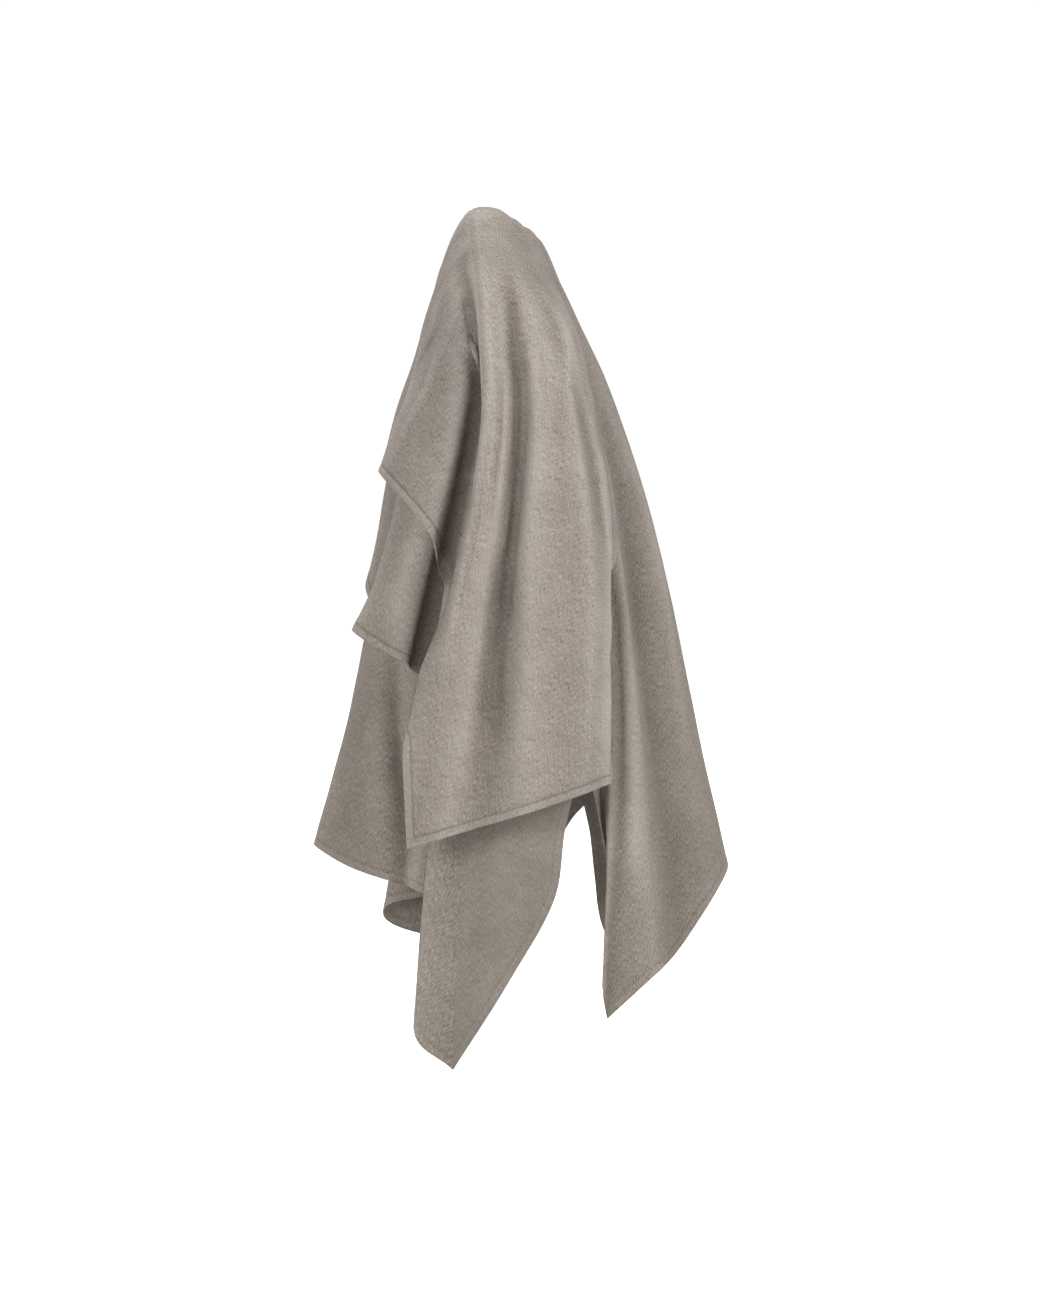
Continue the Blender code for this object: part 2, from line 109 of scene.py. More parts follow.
def stand_point(place, angle):
    """A point on the stand, with z as minus the drop."""
    ring = Ring(*np.moveaxis(ring_at(place), -1, 0))
    turn = np.radians(angle)
    across, along = np.cos(turn), np.sin(turn)
    reach = np.where(along > 0, ring.back_y, ring.front_y)
    reach_drop = np.where(along > 0, ring.back_drop, ring.front_drop)
    x = ring.side_x * across
    y = ring.side_y + (reach - ring.side_y) * np.abs(along)
    drop = ring.side_drop * across**2 + reach_drop * along**2
    return np.stack([x, y, -drop], axis=-1)


def off_stand(place, angle, out):
    """A point at a distance outside the stand."""
    ring_step, angle_step = 0.001, 0.05
    down = stand_point(place + ring_step, angle) - stand_point(place - ring_step, angle)
    round_body = stand_point(place, angle + angle_step) - stand_point(place, angle - angle_step)
    normal = np.cross(down, round_body)
    normal /= np.linalg.norm(normal, axis=-1, keepdims=True)
    return stand_point(place, angle) + normal * np.asarray(out)[..., None]


chest = 2 * ring_at(np.array(7.0))
print("stand at the chest, width and depth in mm:", round(chest[0]), round((chest[5] - chest[3]) / 2))

# %% [markdown]
# ## Where the folds run
# Cloth falls from the shoulders in long folds. Each row of a fold table is one line of cloth from the collar
# down to the hem: its angle at the collar, then its angle and its distance outside the stand at the upper
# height, at the middle height and at its foot, and the drop of its foot. None stands for a height below the
# foot. A crisp value, where a row has one, makes its line a crease instead of a soft wave. The lines go round
# in order, so the cloth between two of them can double back on itself, as it does in the pleats.

# %% The fold tables
UPPER_DROP = 220.0
MIDDLE_DROP = 460.0
Fold = namedtuple(
    "Fold", "name top upper upper_out middle middle_out foot foot_out drop crisp", defaults=[0.0]
)

FRONT_FOLDS = (
    ("far_seam", -186, -188, 0, -197.5, 0, -199.5, 10, 781),
    ("far_side_high", -180, -182, -4, -190, -2, -196, 8, 798),
    ("far_side_middle", -172, -173, -6, -182, -5, -190, 4, 841),
    ("far_side_low", -165, -166, -8, -171, -10, -178, 1, 915),
    ("far_tip", -157, -158, -10, -162, -14, -164.5, 7, 966),
    ("far_outer_fold", -149, -150, -12, -147, -16, -144.5, 15, 918),
    ("far_inner_fold", -143, -144, -14, -150, -42, -161, -58, 871),
    ("far_pleat_edge", -136, -137, -15, -138, -34, -152, -48, 831),
    ("far_valley", -126, -127, -14, -127, -28, -134, -40, 818),
    ("far_ridge", -114, -114, -4, -113, 0, -116, 4, 810),
    ("centre_valley", -104, -104, -8, -103, -14, -104, -20, 800),
    ("centre", -94, -95, -5, -96, -5, -96, -2, 797),
    ("corner", -80, -80, -5, -83, -6, -83.6, -2, 794),
    ("front_face", -60, -58, -14, -67, -14, -63, -24, 806),
    ("shade_valley", -50, -48, -22, -54, -36, -43, -28, 814),
    ("near_pleat_edge", -43, -41, -29, -44, -60, -31, -20, 819),
    ("near_inner_fold", -37, -35, -42, -33, -70, -10, -38, 872),
    ("near_outer_fold", -31, -29, -46, -30, -58, -23, 15, 982),
    ("near_tip", -24, -22, -48, -18, -46, -13.7, 16, 1027),
    ("near_side_low", -16, -15, -42, -8, -36, -1.5, 15, 917),
    ("near_side_middle", -8, -7, -30, 2, -26, 9.5, 17, 818),
    ("near_side_high", 0, 2, -20, 9, -16, 13, 13, 738),
    ("near_seam", 6, 8, -14, 17, -4, 20.2, 12, 640),
)
BACK_FOLDS = (
    ("near_seam", 6, 8, -14, 17, -4, 20.2, 12, 640),
    ("near_edge_fold", 18, 20, -7, 26.5, 6, 25.2, 4, 852),
    ("near_side_low", 27, 27, -5, 30.5, 13, 19.0, 32, 927),
    ("near_tip", 35, 33, -6, 33.5, 17, 19.6, 31, 964),
    ("ridge", 43, 40, -5, 36, 27, 31.7, 40, 912, 0.6),
    ("valley", 56, 56, -8, 52, -10, 43, 10, 893),
    ("blade_ridge", 70, 68, 0, 67, 11, 60, 12, 838),
    ("corner", 86, 84, -1, 85.5, 3, 81.7, 5, 812),
    ("centre_valley", 99, 98, -6, 98, -12, 97, -18, 815),
    ("centre_ridge", 110, 109, 0, 111, 6, 110, 10, 820),
    ("far_valley", 122, 121, -10, 123, -20, 124, -24, 840),
    ("far_ridge", 136, 135, -3, 138, 12, 138, 20, 890, 0.3),
    ("far_tip", 147, 146, -4, 149, 8, 151.8, 20, 1000),
    ("far_side_low", 154, 153, -5, 156, 4, 157.6, 9, 943),
    ("far_side_middle", 161, 160, -3, 159, 2, 158.7, 9.5, 879),
    ("far_side_high", 168, 166, -1, 161, 2, 159.3, 11, 820),
    ("far_seam", 174, 172, 0, 162.5, 0, 160.5, 10, 781),
)
UNDER_FOLDS = (
    ("right_seam", -184, None, None, None, None, -186, 3.2, 150),
    ("gather_1", -166, None, None, None, None, -167, 5, 200),
    ("gather_2", -146, -146, 4, None, None, -147, 6, 270),
    ("gather_3", -122, -122, 3, None, None, -123, 8, 360),
    ("breast", -98, -99, 4, None, None, -100, 8, 440),
    ("centre", -86, -84, 4, None, None, -85.5, 9, 468),
    ("hollow", -74, -68, -9, None, None, -76.6, 2, 488),
    ("fold", -62, -58, -5, -61, 12, -64.4, 25, 515, 0.5),
    ("face", -50, -43, -19, -48, -2, -50.5, -4, 540),
    ("valley_lip", -40, -34, -27, -42, -20, -45, -16, 550),
    ("valley", -30, -26, -37, -38, -46, -42, -40, 570),
    ("hidden_edge", -14, -8, -22, -14, -32, -18, -32, 590),
)
OVER_FOLDS = (
    ("right_seam", -184, None, None, None, None, -186, 6.4, 125),
    ("gather_1", -168, None, None, None, None, -168, 9, 150),
    ("gather_2", -150, None, None, None, None, -150, 9, 190),
    ("gather_3", -128, None, None, None, None, -130, 11, 236),
    ("breast", -98, -99, 10, None, None, -100, 14, 292),
    ("centre", -86, -84, 10, None, None, -85, 14, 314),
    ("front_hollow", -74, -68, -4, None, None, -75, 6, 316),
    ("front_fold", -62, -58, 12, None, None, -64.4, 26, 321, 0.6),
    ("front_face", -49, -42, -9, None, None, -48, 11, 352),
    ("valley_lip", -38, -27, -17, None, None, -36.5, -8, 392),
    ("deep_valley", -29, -18, -29, None, None, -36, -38, 459),
    ("valley_wall", -20, -10, -25, -24, -36, -34, -10, 578),
    ("left_ridge", -12, -8.5, 8, -21, 24, -28.6, 46, 634, 0.5),
    ("left_corner", -4, -3.5, 9, -15, 25, -25.5, 46, 761),
    ("left_face", 4, 1.7, 4, -8.5, 17, -17, 43, 746),
    ("soft_valley", 13, 7, -14, -2.6, -5, -8.8, 33, 733),
    ("middle_face", 24, 13, 14, 4.6, 39, 3.2, 53, 712),
    ("bright_ridge", 42, 23.6, 30, 20.6, 59, 16, 58, 690, 0.7),
    ("right_fold", 55, 30, 19, 25, 47, 21.7, 54, 681, 0.3),
    ("back_hem", 70, 37.4, 12, 26, 12, 23.8, 51, 680),
)

# Some lines need more heights: below the shoulder, where the thrown end's folds begin, and where its back
# hem turns behind its right fold and out again. Each has the drop, the angle and the distance outside.
MORE_KNOTS = {
    "deep_valley": ((150, -19.5, -3), (330, -26, -33)),
    "valley_wall": ((150, -12.5, -8),),
    "left_ridge": ((150, -8.5, 7.5), (570, -28, 40)),
    "soft_valley": ((150, 9, -2),),
    "middle_face": ((150, 17, 10),),
    "bright_ridge": ((150, 30, 17),),
    "right_fold": ((600, 23.2, 54),),
    "back_hem": ((415, 31, 38), (600, 23.5, 28)),
}
BACK_FOLDED = ("near_inner_fold", "near_outer_fold", "far_inner_fold", "far_outer_fold")
CORNERS = ("near_seam", "far_seam", "near_tip", "far_tip", "left_corner", "back_hem")
Layer = namedtuple("Layer", "collar_out side_ring front_ring back_ring rows_down closer_above drape")
LAYERS = {
    "body": Layer(0.0, 1.5, 3.2, 1.4, 20, 1.4, 0.0),
    "under_wrap": Layer(2.6, 1.2, 1.5, 1.2, 16, 1.5, 4.0),
    "over_wrap": Layer(8.0, 0.0, 0.0, 2.2, 20, 1.5, 5.0),
}
print("fold lines:", len(FRONT_FOLDS) + len(BACK_FOLDS) + len(UNDER_FOLDS) + len(OVER_FOLDS))

# %% [markdown]
# ## From a row to a hanging line
# Each row becomes a smooth line of points. Its height on the stand is found by halving, because a line that
# stands further out hangs at another drop. The scarf's soft folds swing from the right shoulder over the
# chest, so a slow wave is added to its lines there. The points lie closer together at the collar, where the
# cloth turns most.

# %% Lines of cloth
SHOULDER_RING = 3.4
LINE_SAMPLES = 240
HALVINGS = 30
DRAPE_WAVES = 2.5
DRAPE_FROM = -178.0
DRAPE_TO = -96.0


def between(positions, values, at):
    """Smooth values at the places asked for, through the given ones and never past them."""
    positions = np.asarray(positions, float)
    values = np.asarray(values, float)
    gaps = np.diff(positions)
    slopes = np.diff(values) / gaps
    tangents = np.zeros(len(values))
    tangents[0], tangents[-1] = slopes[0], slopes[-1]
    for i in range(1, len(values) - 1):
        if slopes[i - 1] * slopes[i] > 0:
            tangents[i] = 2 * slopes[i - 1] * slopes[i] / (slopes[i - 1] + slopes[i])
    i = np.clip(np.searchsorted(positions, at) - 1, 0, len(gaps) - 1)
    f = (at - positions[i]) / gaps[i]
    rise = (3 - 2 * f) * f * f
    start = f * (1 - f) ** 2 * gaps[i] * tangents[i]
    end = f * f * (f - 1) * gaps[i] * tangents[i + 1]
    return values[i] + (values[i + 1] - values[i]) * rise + start + end


def ring_of_drop(drop, angle, out):
    """The place on the stand at which a point this far outside it hangs at the given drop."""
    low, high = 1.0, len(RINGS) - 1.01
    for _ in range(HALVINGS):
        middle = (low + high) / 2
        hangs = -off_stand(np.array(middle), np.array(angle, float), np.array(out, float))[2]
        low, high = (middle, high) if hangs < drop else (low, middle)
    return (low + high) / 2


def cloth_line(row, layer, down):
    """The points of one fold line at the given shares of its length."""
    frontal = max(0.0, -np.sin(np.radians(row.top))) ** 3
    rearward = max(0.0, np.sin(np.radians(row.top))) ** 3
    side = layer.side_ring
    start = side + (layer.front_ring - side) * frontal + (layer.back_ring - side) * rearward
    knots = [(start, row.top, layer.collar_out)]
    if row.upper is not None:
        knots.append((ring_of_drop(UPPER_DROP, row.upper, row.upper_out), row.upper, row.upper_out))
    if row.middle is not None:
        knots.append((ring_of_drop(MIDDLE_DROP, row.middle, row.middle_out), row.middle, row.middle_out))
    for drop, angle, out in MORE_KNOTS.get(row.name, ()):
        knots.append((ring_of_drop(drop, angle, out), angle, out))
    knots.append((ring_of_drop(row.drop, row.foot, row.foot_out), row.foot, row.foot_out))
    knots.sort()
    if knots[1][0] > SHOULDER_RING:
        share = (SHOULDER_RING - start) / (knots[1][0] - start)
        angle = row.top + (knots[1][1] - row.top) * share
        knots.insert(1, (SHOULDER_RING, angle, layer.collar_out))
    places, angles, outs = np.array(knots).T
    fine = np.linspace(places[0], places[-1], LINE_SAMPLES)
    turn = between(places, angles, fine)
    passed = (fine - places[0]) / (places[-1] - places[0])
    across = np.clip((turn - DRAPE_FROM) / (DRAPE_TO - DRAPE_FROM), 0, 1)
    swell = layer.drape * np.sin(np.pi * across) * np.sin(np.pi * passed)
    wave = swell * np.cos(2 * np.pi * DRAPE_WAVES * passed)
    line = off_stand(fine, turn, between(places, outs, fine) + wave)
    length = np.concatenate([[0.0], np.cumsum(np.linalg.norm(np.diff(line, axis=0), axis=1))])
    return np.stack([np.interp(length[-1] * down, length, line[:, k]) for k in range(3)], axis=-1)


centre_line = cloth_line(Fold(*FRONT_FOLDS[11]), LAYERS["body"], np.array([0, 1]))
print("the front's centre line, from collar to hem, mm:", np.round(centre_line).tolist())

# %% [markdown]
# ## From lines to a sheet
# Neighbouring lines are joined by smooth curves whose speed follows the distance between the lines, so that
# a narrow pleat doesn't bulge. Where the cloth is folded right back, the line opens into a small round tip
# instead of a knife edge. The same sheet is made twice: coarse, to push the layers apart quickly, and fine,
# for the cloth that shows.

# %% Sheets through the lines
SHORTEST_CHORD = 1.0
FOLD_ROUNDNESS = 0.6
SHARP_FOLD = 7.0
FLAT_FOLD = 1.6
CORNER_FROM = 0.7
CRISP_FROM = 0.35
FEWEST_STEPS = 2
FOLD_MARK = 0.001
Sheet = namedtuple("Sheet", "points place down")


def sheet_through(rows, layer, down, step_across):
    """A grid of points through the fold lines, with each column's place in the table and each row's share."""
    lines = np.array([cloth_line(row, layer, down) for row in rows])
    turned = np.clip((down - CORNER_FROM) / (1 - CORNER_FROM), 0, 1)
    at_corner = np.array([turned * (row.name in CORNERS) for row in rows])
    crisp = np.array([row.crisp * np.clip(down / CRISP_FROM, 0, 1) ** 2 for row in rows])
    sharp = np.maximum(crisp, at_corner)[:, :, None]
    chords = np.linalg.norm(np.diff(lines, axis=0), axis=2)
    gaps = np.sqrt(np.maximum(chords, SHORTEST_CHORD))[:, :, None]
    slopes = np.diff(lines, axis=0) / gaps
    soft = np.empty_like(lines)
    soft[0], soft[-1] = slopes[0], slopes[-1]
    soft[1:-1] = (slopes[:-1] * gaps[1:] + slopes[1:] * gaps[:-1]) / (gaps[:-1] + gaps[1:])
    length = np.linalg.norm(slopes, axis=2, keepdims=True)
    mean_length = (length[:-1] + length[1:]) / 2
    soft_length = np.linalg.norm(soft[1:-1], axis=2, keepdims=True)
    half_fold = np.zeros_like(lines)
    for i, row in enumerate(rows):
        if row.name in BACK_FOLDED:
            straight = soft_length[i - 1] / mean_length[i - 1]
            soft[i] *= 1 + FOLD_ROUNDNESS * (1 / straight - 1)
            direction = soft[i] / np.linalg.norm(soft[i], axis=1, keepdims=True)
            half_fold[i] = direction * (SHARP_FOLD + (FLAT_FOLD - SHARP_FOLD) * straight) / 2
    leaving = soft[:-1] * (1 - sharp[:-1]) + slopes * sharp[:-1]
    arriving = soft[1:] * (1 - sharp[1:]) + slopes * sharp[1:]
    columns, place = [lines[0]], [0.0]
    for i, gap in enumerate(gaps):
        steps = max(FEWEST_STEPS, int(round(chords[i].max() / step_across)))
        start, end = lines[i] + half_fold[i], lines[i + 1] - half_fold[i + 1]
        for f in np.arange(1, steps + 1) / steps:
            rise = (3 - 2 * f) * f * f
            bend = f * (1 - f) ** 2 * gap * leaving[i] + f * f * (f - 1) * gap * arriving[i]
            columns.append(start + (end - start) * rise + bend)
            place.append(i + f)
        if half_fold[i + 1].any():
            turns = max(1, int(round(SHARP_FOLD / step_across)))
            for f in np.arange(1, turns + 1) / turns:
                columns.append(lines[i + 1] + half_fold[i + 1] * (2 * f - 1))
                place.append(i + 1 + FOLD_MARK * f)
    return Sheet(np.array(columns), np.array(place), down)


def normals_of(points):
    """Unit normals of a grid whose columns run down. The collar's edge takes those of the row below it."""
    across = np.gradient(points, axis=0)
    down = np.gradient(points, axis=1)
    normals = np.cross(down, across)
    normals /= np.linalg.norm(normals, axis=2, keepdims=True)
    normals[:, 0] = normals[:, 1]
    return normals


def closed_normals(points):
    """Normals of a sheet that is closed round the body, which agree where its ends meet."""
    ring = np.concatenate([points[-2:-1], points, points[1:2]])
    return normals_of(ring)[1:-1]


def rows_down(layer):
    """The coarse rows' shares of the length, closer together at the collar."""
    return np.linspace(0, 1, layer.rows_down + 1) ** layer.closer_above

# %% [markdown]
# ## Pressing the layers apart
# Where one layer lies over another, the lower one is pressed inwards until both have room. This is what the
# weight of the scarf does to the poncho. The push is worked out on the coarse sheets and then laid over the
# fine ones, which keeps it smooth.

# %% Room for each layer
CLOTH = 2.6
LAYER_GAP = 1.2
PRESS_ROUNDS = 12
PRESS_REACH = 12.0
PRESS_SPREAD = 0.85
SMOOTHINGS = 3
SETTLED = 0.02
STRAIGHT_OVER = 0.7
SAME_WAY = 0.5


def tree_of(points):
    """The sheet through a grid of points, for finding the nearest place on it, and its triangles."""
    number = np.arange(points.shape[0] * points.shape[1]).reshape(points.shape[:2])
    a, b, c, d = number[:-1, :-1], number[:-1, 1:], number[1:, 1:], number[1:, :-1]
    halves = [np.stack(corners, -1).reshape(-1, 3) for corners in ((a, b, c), (a, c, d))]
    triangles = np.concatenate(halves)
    return BVHTree.FromPolygons(points.reshape(-1, 3).tolist(), triangles.tolist()), triangles


def room_wanted(point, normal, tree, side):
    """How much further from a sheet, on one side of it, a point has to lie, and where the sheet faces."""
    near, facing, triangle, distance = tree.find_nearest(point, PRESS_REACH)
    if near is None or normal @ np.array(facing) < SAME_WAY:
        return 0.0, None, None
    height = float((point - np.array(near)) @ np.array(facing))
    if distance > CLOTH and abs(height) < STRAIGHT_OVER * distance:
        return 0.0, None, None
    return CLOTH + LAYER_GAP - side * height, np.array(facing), triangle


def press_in(inner, outer, find_normals):
    """Moves an inner sheet away from the one over it until there is room for both."""
    inner = inner.copy()
    outer_tree, _ = tree_of(outer)
    outer_normals = normals_of(outer)
    for _ in range(PRESS_ROUNDS):
        normals = find_normals(inner)
        moves = np.zeros_like(inner)
        for spot in np.ndindex(inner.shape[:2]):
            wanted, facing, _ = room_wanted(inner[spot], normals[spot], outer_tree, -1)
            if wanted > 0:
                moves[spot] = -wanted * facing
        inner_tree, triangles = tree_of(inner)
        flat_moves = moves.reshape(-1, 3)
        for spot in np.ndindex(outer.shape[:2]):
            wanted, facing, triangle = room_wanted(outer[spot], outer_normals[spot], inner_tree, 1)
            if wanted > 0:
                for corner in triangles[triangle]:
                    if np.linalg.norm(flat_moves[corner]) < wanted:
                        flat_moves[corner] = -wanted * facing
        if np.abs(moves).max() < SETTLED:
            break
        for _ in range(SMOOTHINGS):
            if find_normals is closed_normals:
                larger = np.linalg.norm(moves[0], axis=1) > np.linalg.norm(moves[-1], axis=1)
                moves[0] = moves[-1] = np.where(larger[:, None], moves[0], moves[-1])
            around = np.pad(moves, ((1, 1), (1, 1), (0, 0)), mode="edge")
            mean = (around[:-2, 1:-1] + around[2:, 1:-1] + around[1:-1, :-2] + around[1:-1, 2:]) / 4
            weaker = np.linalg.norm(moves, axis=2) < PRESS_SPREAD * np.linalg.norm(mean, axis=2)
            moves[weaker] = PRESS_SPREAD * mean[weaker]
        inner += moves
    return inner


SETS = {
    "body": [Fold(*row) for row in (*FRONT_FOLDS, *BACK_FOLDS[1:-1])],
    "under_wrap": [Fold(*row) for row in UNDER_FOLDS],
    "over_wrap": [Fold(*row) for row in OVER_FOLDS],
}
COARSE_ACROSS = 34.0


def make_sheet(name, down, step_across):
    """One layer as a sheet. The body's first and last columns are the same, at the far seam."""
    rows = SETS[name]
    if name != "body":
        return sheet_through(rows, LAYERS[name], down, step_across)
    ringed = [rows[-1], *rows, rows[0], rows[1]]
    sheet = sheet_through(ringed, LAYERS[name], down, step_across)
    kept = (sheet.place >= 1) & (sheet.place <= len(rows) + 1)
    return Sheet(sheet.points[kept], sheet.place[kept] - 1, down)


coarse = {name: make_sheet(name, rows_down(LAYERS[name]), COARSE_ACROSS) for name in SETS}
pressed = {"over_wrap": coarse["over_wrap"].points}
pressed["under_wrap"] = press_in(coarse["under_wrap"].points, pressed["over_wrap"], normals_of)
pressed["body"] = coarse["body"].points
for name in ("under_wrap", "over_wrap", "under_wrap"):
    pressed["body"] = press_in(pressed["body"], pressed[name], closed_normals)
for name, points in pressed.items():
    print(name, "pressed by up to", round(float(np.abs(points - coarse[name].points).max()), 1), "mm")

# %% [markdown]
# ## The fine cloth
# The sheets are made again with a step of a few millimetres, and with rows closer together at the hem, where
# the turned edge needs them. The coarse push is spread over the fine grid and evened out. The collar then
# sinks a little towards the back, where nothing holds it up.

# %% Fine sheets
FINE_STEPS = {"body": 5.9, "under_wrap": 4.0, "over_wrap": 4.0}
MEAN_LENGTH = {"body": 860.0, "under_wrap": 430.0, "over_wrap": 560.0}
HEM_ROWS = (0.0, 1.0, 2.2, 3.6, 5.2, 7.0, 8.6, 10.0, 11.4, 13.0, 15.0, 17.6, 21.0)
PUSH_EVENING = 150
COLLAR_SINKS = 12.0
SINKS_FROM_Y, SINKS_OVER_Y = -18.0, 55.0
SINKS_FROM_Z, SINKS_OVER_Z = -75.0, 110.0


def fine_rows(step, length):
    """Shares of the length for the fine rows: even ones, and closer ones at the hem."""
    hem = 1 - np.array(HEM_ROWS) / length
    count = int(hem[-1] * length / step)
    return np.concatenate([np.linspace(0, hem[-1], count + 1)[:-1], hem[::-1]])


def push_at(name, sheet):
    """The coarse push at the places of a finer sheet."""
    push = pressed[name] - coarse[name].points
    wanted_at, known_at = (sheet.place, sheet.down), (coarse[name].place, coarse[name].down)
    for axis, (wanted, known) in enumerate(zip(wanted_at, known_at)):
        push = np.apply_along_axis(lambda line: np.interp(wanted, known, line), axis, push)
    return push


def evened(values, passes):
    """A grid of values smoothed by its neighbours, with its rim kept."""
    values = values.copy()
    for _ in range(passes):
        mean = (values[:-2, 1:-1] + values[2:, 1:-1] + values[1:-1, :-2] + values[1:-1, 2:]) / 4
        values[1:-1, 1:-1] = (values[1:-1, 1:-1] + mean) / 2
    return values


def settled(points):
    """The points with the collar sunk towards the back, softly in depth and in height."""
    behind = np.clip((points[..., 1] - SINKS_FROM_Y) / SINKS_OVER_Y, 0, 1)
    high = np.clip((points[..., 2] - SINKS_FROM_Z) / SINKS_OVER_Z, 0, 1)
    share = (3 - 2 * behind) * behind**2 * (3 - 2 * high) * high**2
    return points - COLLAR_SINKS * share[..., None] * np.array([0.0, 0.0, 1.0])


fine = {}
for name in SETS:
    sheet = make_sheet(name, fine_rows(FINE_STEPS[name], MEAN_LENGTH[name]), FINE_STEPS[name])
    points = settled(sheet.points + evened(push_at(name, sheet), PUSH_EVENING))
    fine[name] = Sheet(points, sheet.place, sheet.down)
    print(name, "fine grid:", points.shape[:2])

# %% [markdown]
# ## Splitting the body and marking the hems
# The body sheet is cut at the two shoulder seams into the front and the back panel. Each piece then knows two
# things for every point: how far it is from the nearest cut and hemmed edge, and how far along that edge. The
# hem's roll and its line of stitches are made from these, and they follow every curve of the edge.

# %% Panels and their hems
near_seam_place = len(FRONT_FOLDS) - 1
seam_column = int(np.argmin(np.abs(fine["body"].place - near_seam_place)))
body = fine["body"]
panels = {
    "front_panel": Sheet(body.points[: seam_column + 1], body.place[: seam_column + 1], body.down),
    "back_panel": Sheet(body.points[seam_column:], body.place[seam_column:], body.down),
    "under_wrap": fine["under_wrap"],
    "over_wrap": fine["over_wrap"],
}
body_normals = closed_normals(body.points)
normals = {
    "front_panel": body_normals[: seam_column + 1],
    "back_panel": body_normals[seam_column:],
    "under_wrap": normals_of(fine["under_wrap"].points),
    "over_wrap": normals_of(fine["over_wrap"].points),
}
HEM_WINDOW = 40
FAR_FROM_HEM = 60.0


def hem_line(name, points):
    """The hemmed edge of a panel as one line of points. The scarf's runs on up its last column."""
    foot = points[:, -1]
    if name != "over_wrap":
        return foot
    return np.concatenate([foot, points[-1, -2::-1]])


def from_hem(name, points):
    """For each point, the distance to the hemmed edge and the distance along that edge, in millimetres."""
    line = hem_line(name, points)
    along = np.concatenate([[0.0], np.cumsum(np.linalg.norm(np.diff(line, axis=0), axis=1))])
    starts, steps = line[:-1], np.diff(line, axis=0)
    squares = np.maximum(np.sum(steps**2, axis=1), 1e-9)
    away = np.full(points.shape[:2], FAR_FROM_HEM)
    at = np.zeros(points.shape[:2])
    columns = points.shape[0]
    for j in range(columns):
        chosen = np.arange(max(0, j - HEM_WINDOW), min(len(steps), j + HEM_WINDOW))
        if name == "over_wrap" and j > columns - HEM_WINDOW:
            chosen = np.arange(max(0, j - HEM_WINDOW), len(steps))
        offset = points[j][:, None] - starts[None, chosen]
        share = np.clip(np.sum(offset * steps[chosen], axis=2) / squares[chosen], 0, 1)
        gap = np.linalg.norm(offset - share[:, :, None] * steps[chosen], axis=2)
        nearest = gap.argmin(axis=1)
        rows = np.arange(points.shape[1])
        away[j] = np.minimum(gap[rows, nearest], FAR_FROM_HEM)
        picked = chosen[nearest]
        at[j] = along[picked] + share[rows, nearest] * (along[picked + 1] - along[picked])
    return away, at


hems = {name: from_hem(name, sheet.points) for name, sheet in panels.items()}
for name, (away, at) in hems.items():
    print(name, "hem length, mm:", round(float(at.max())))
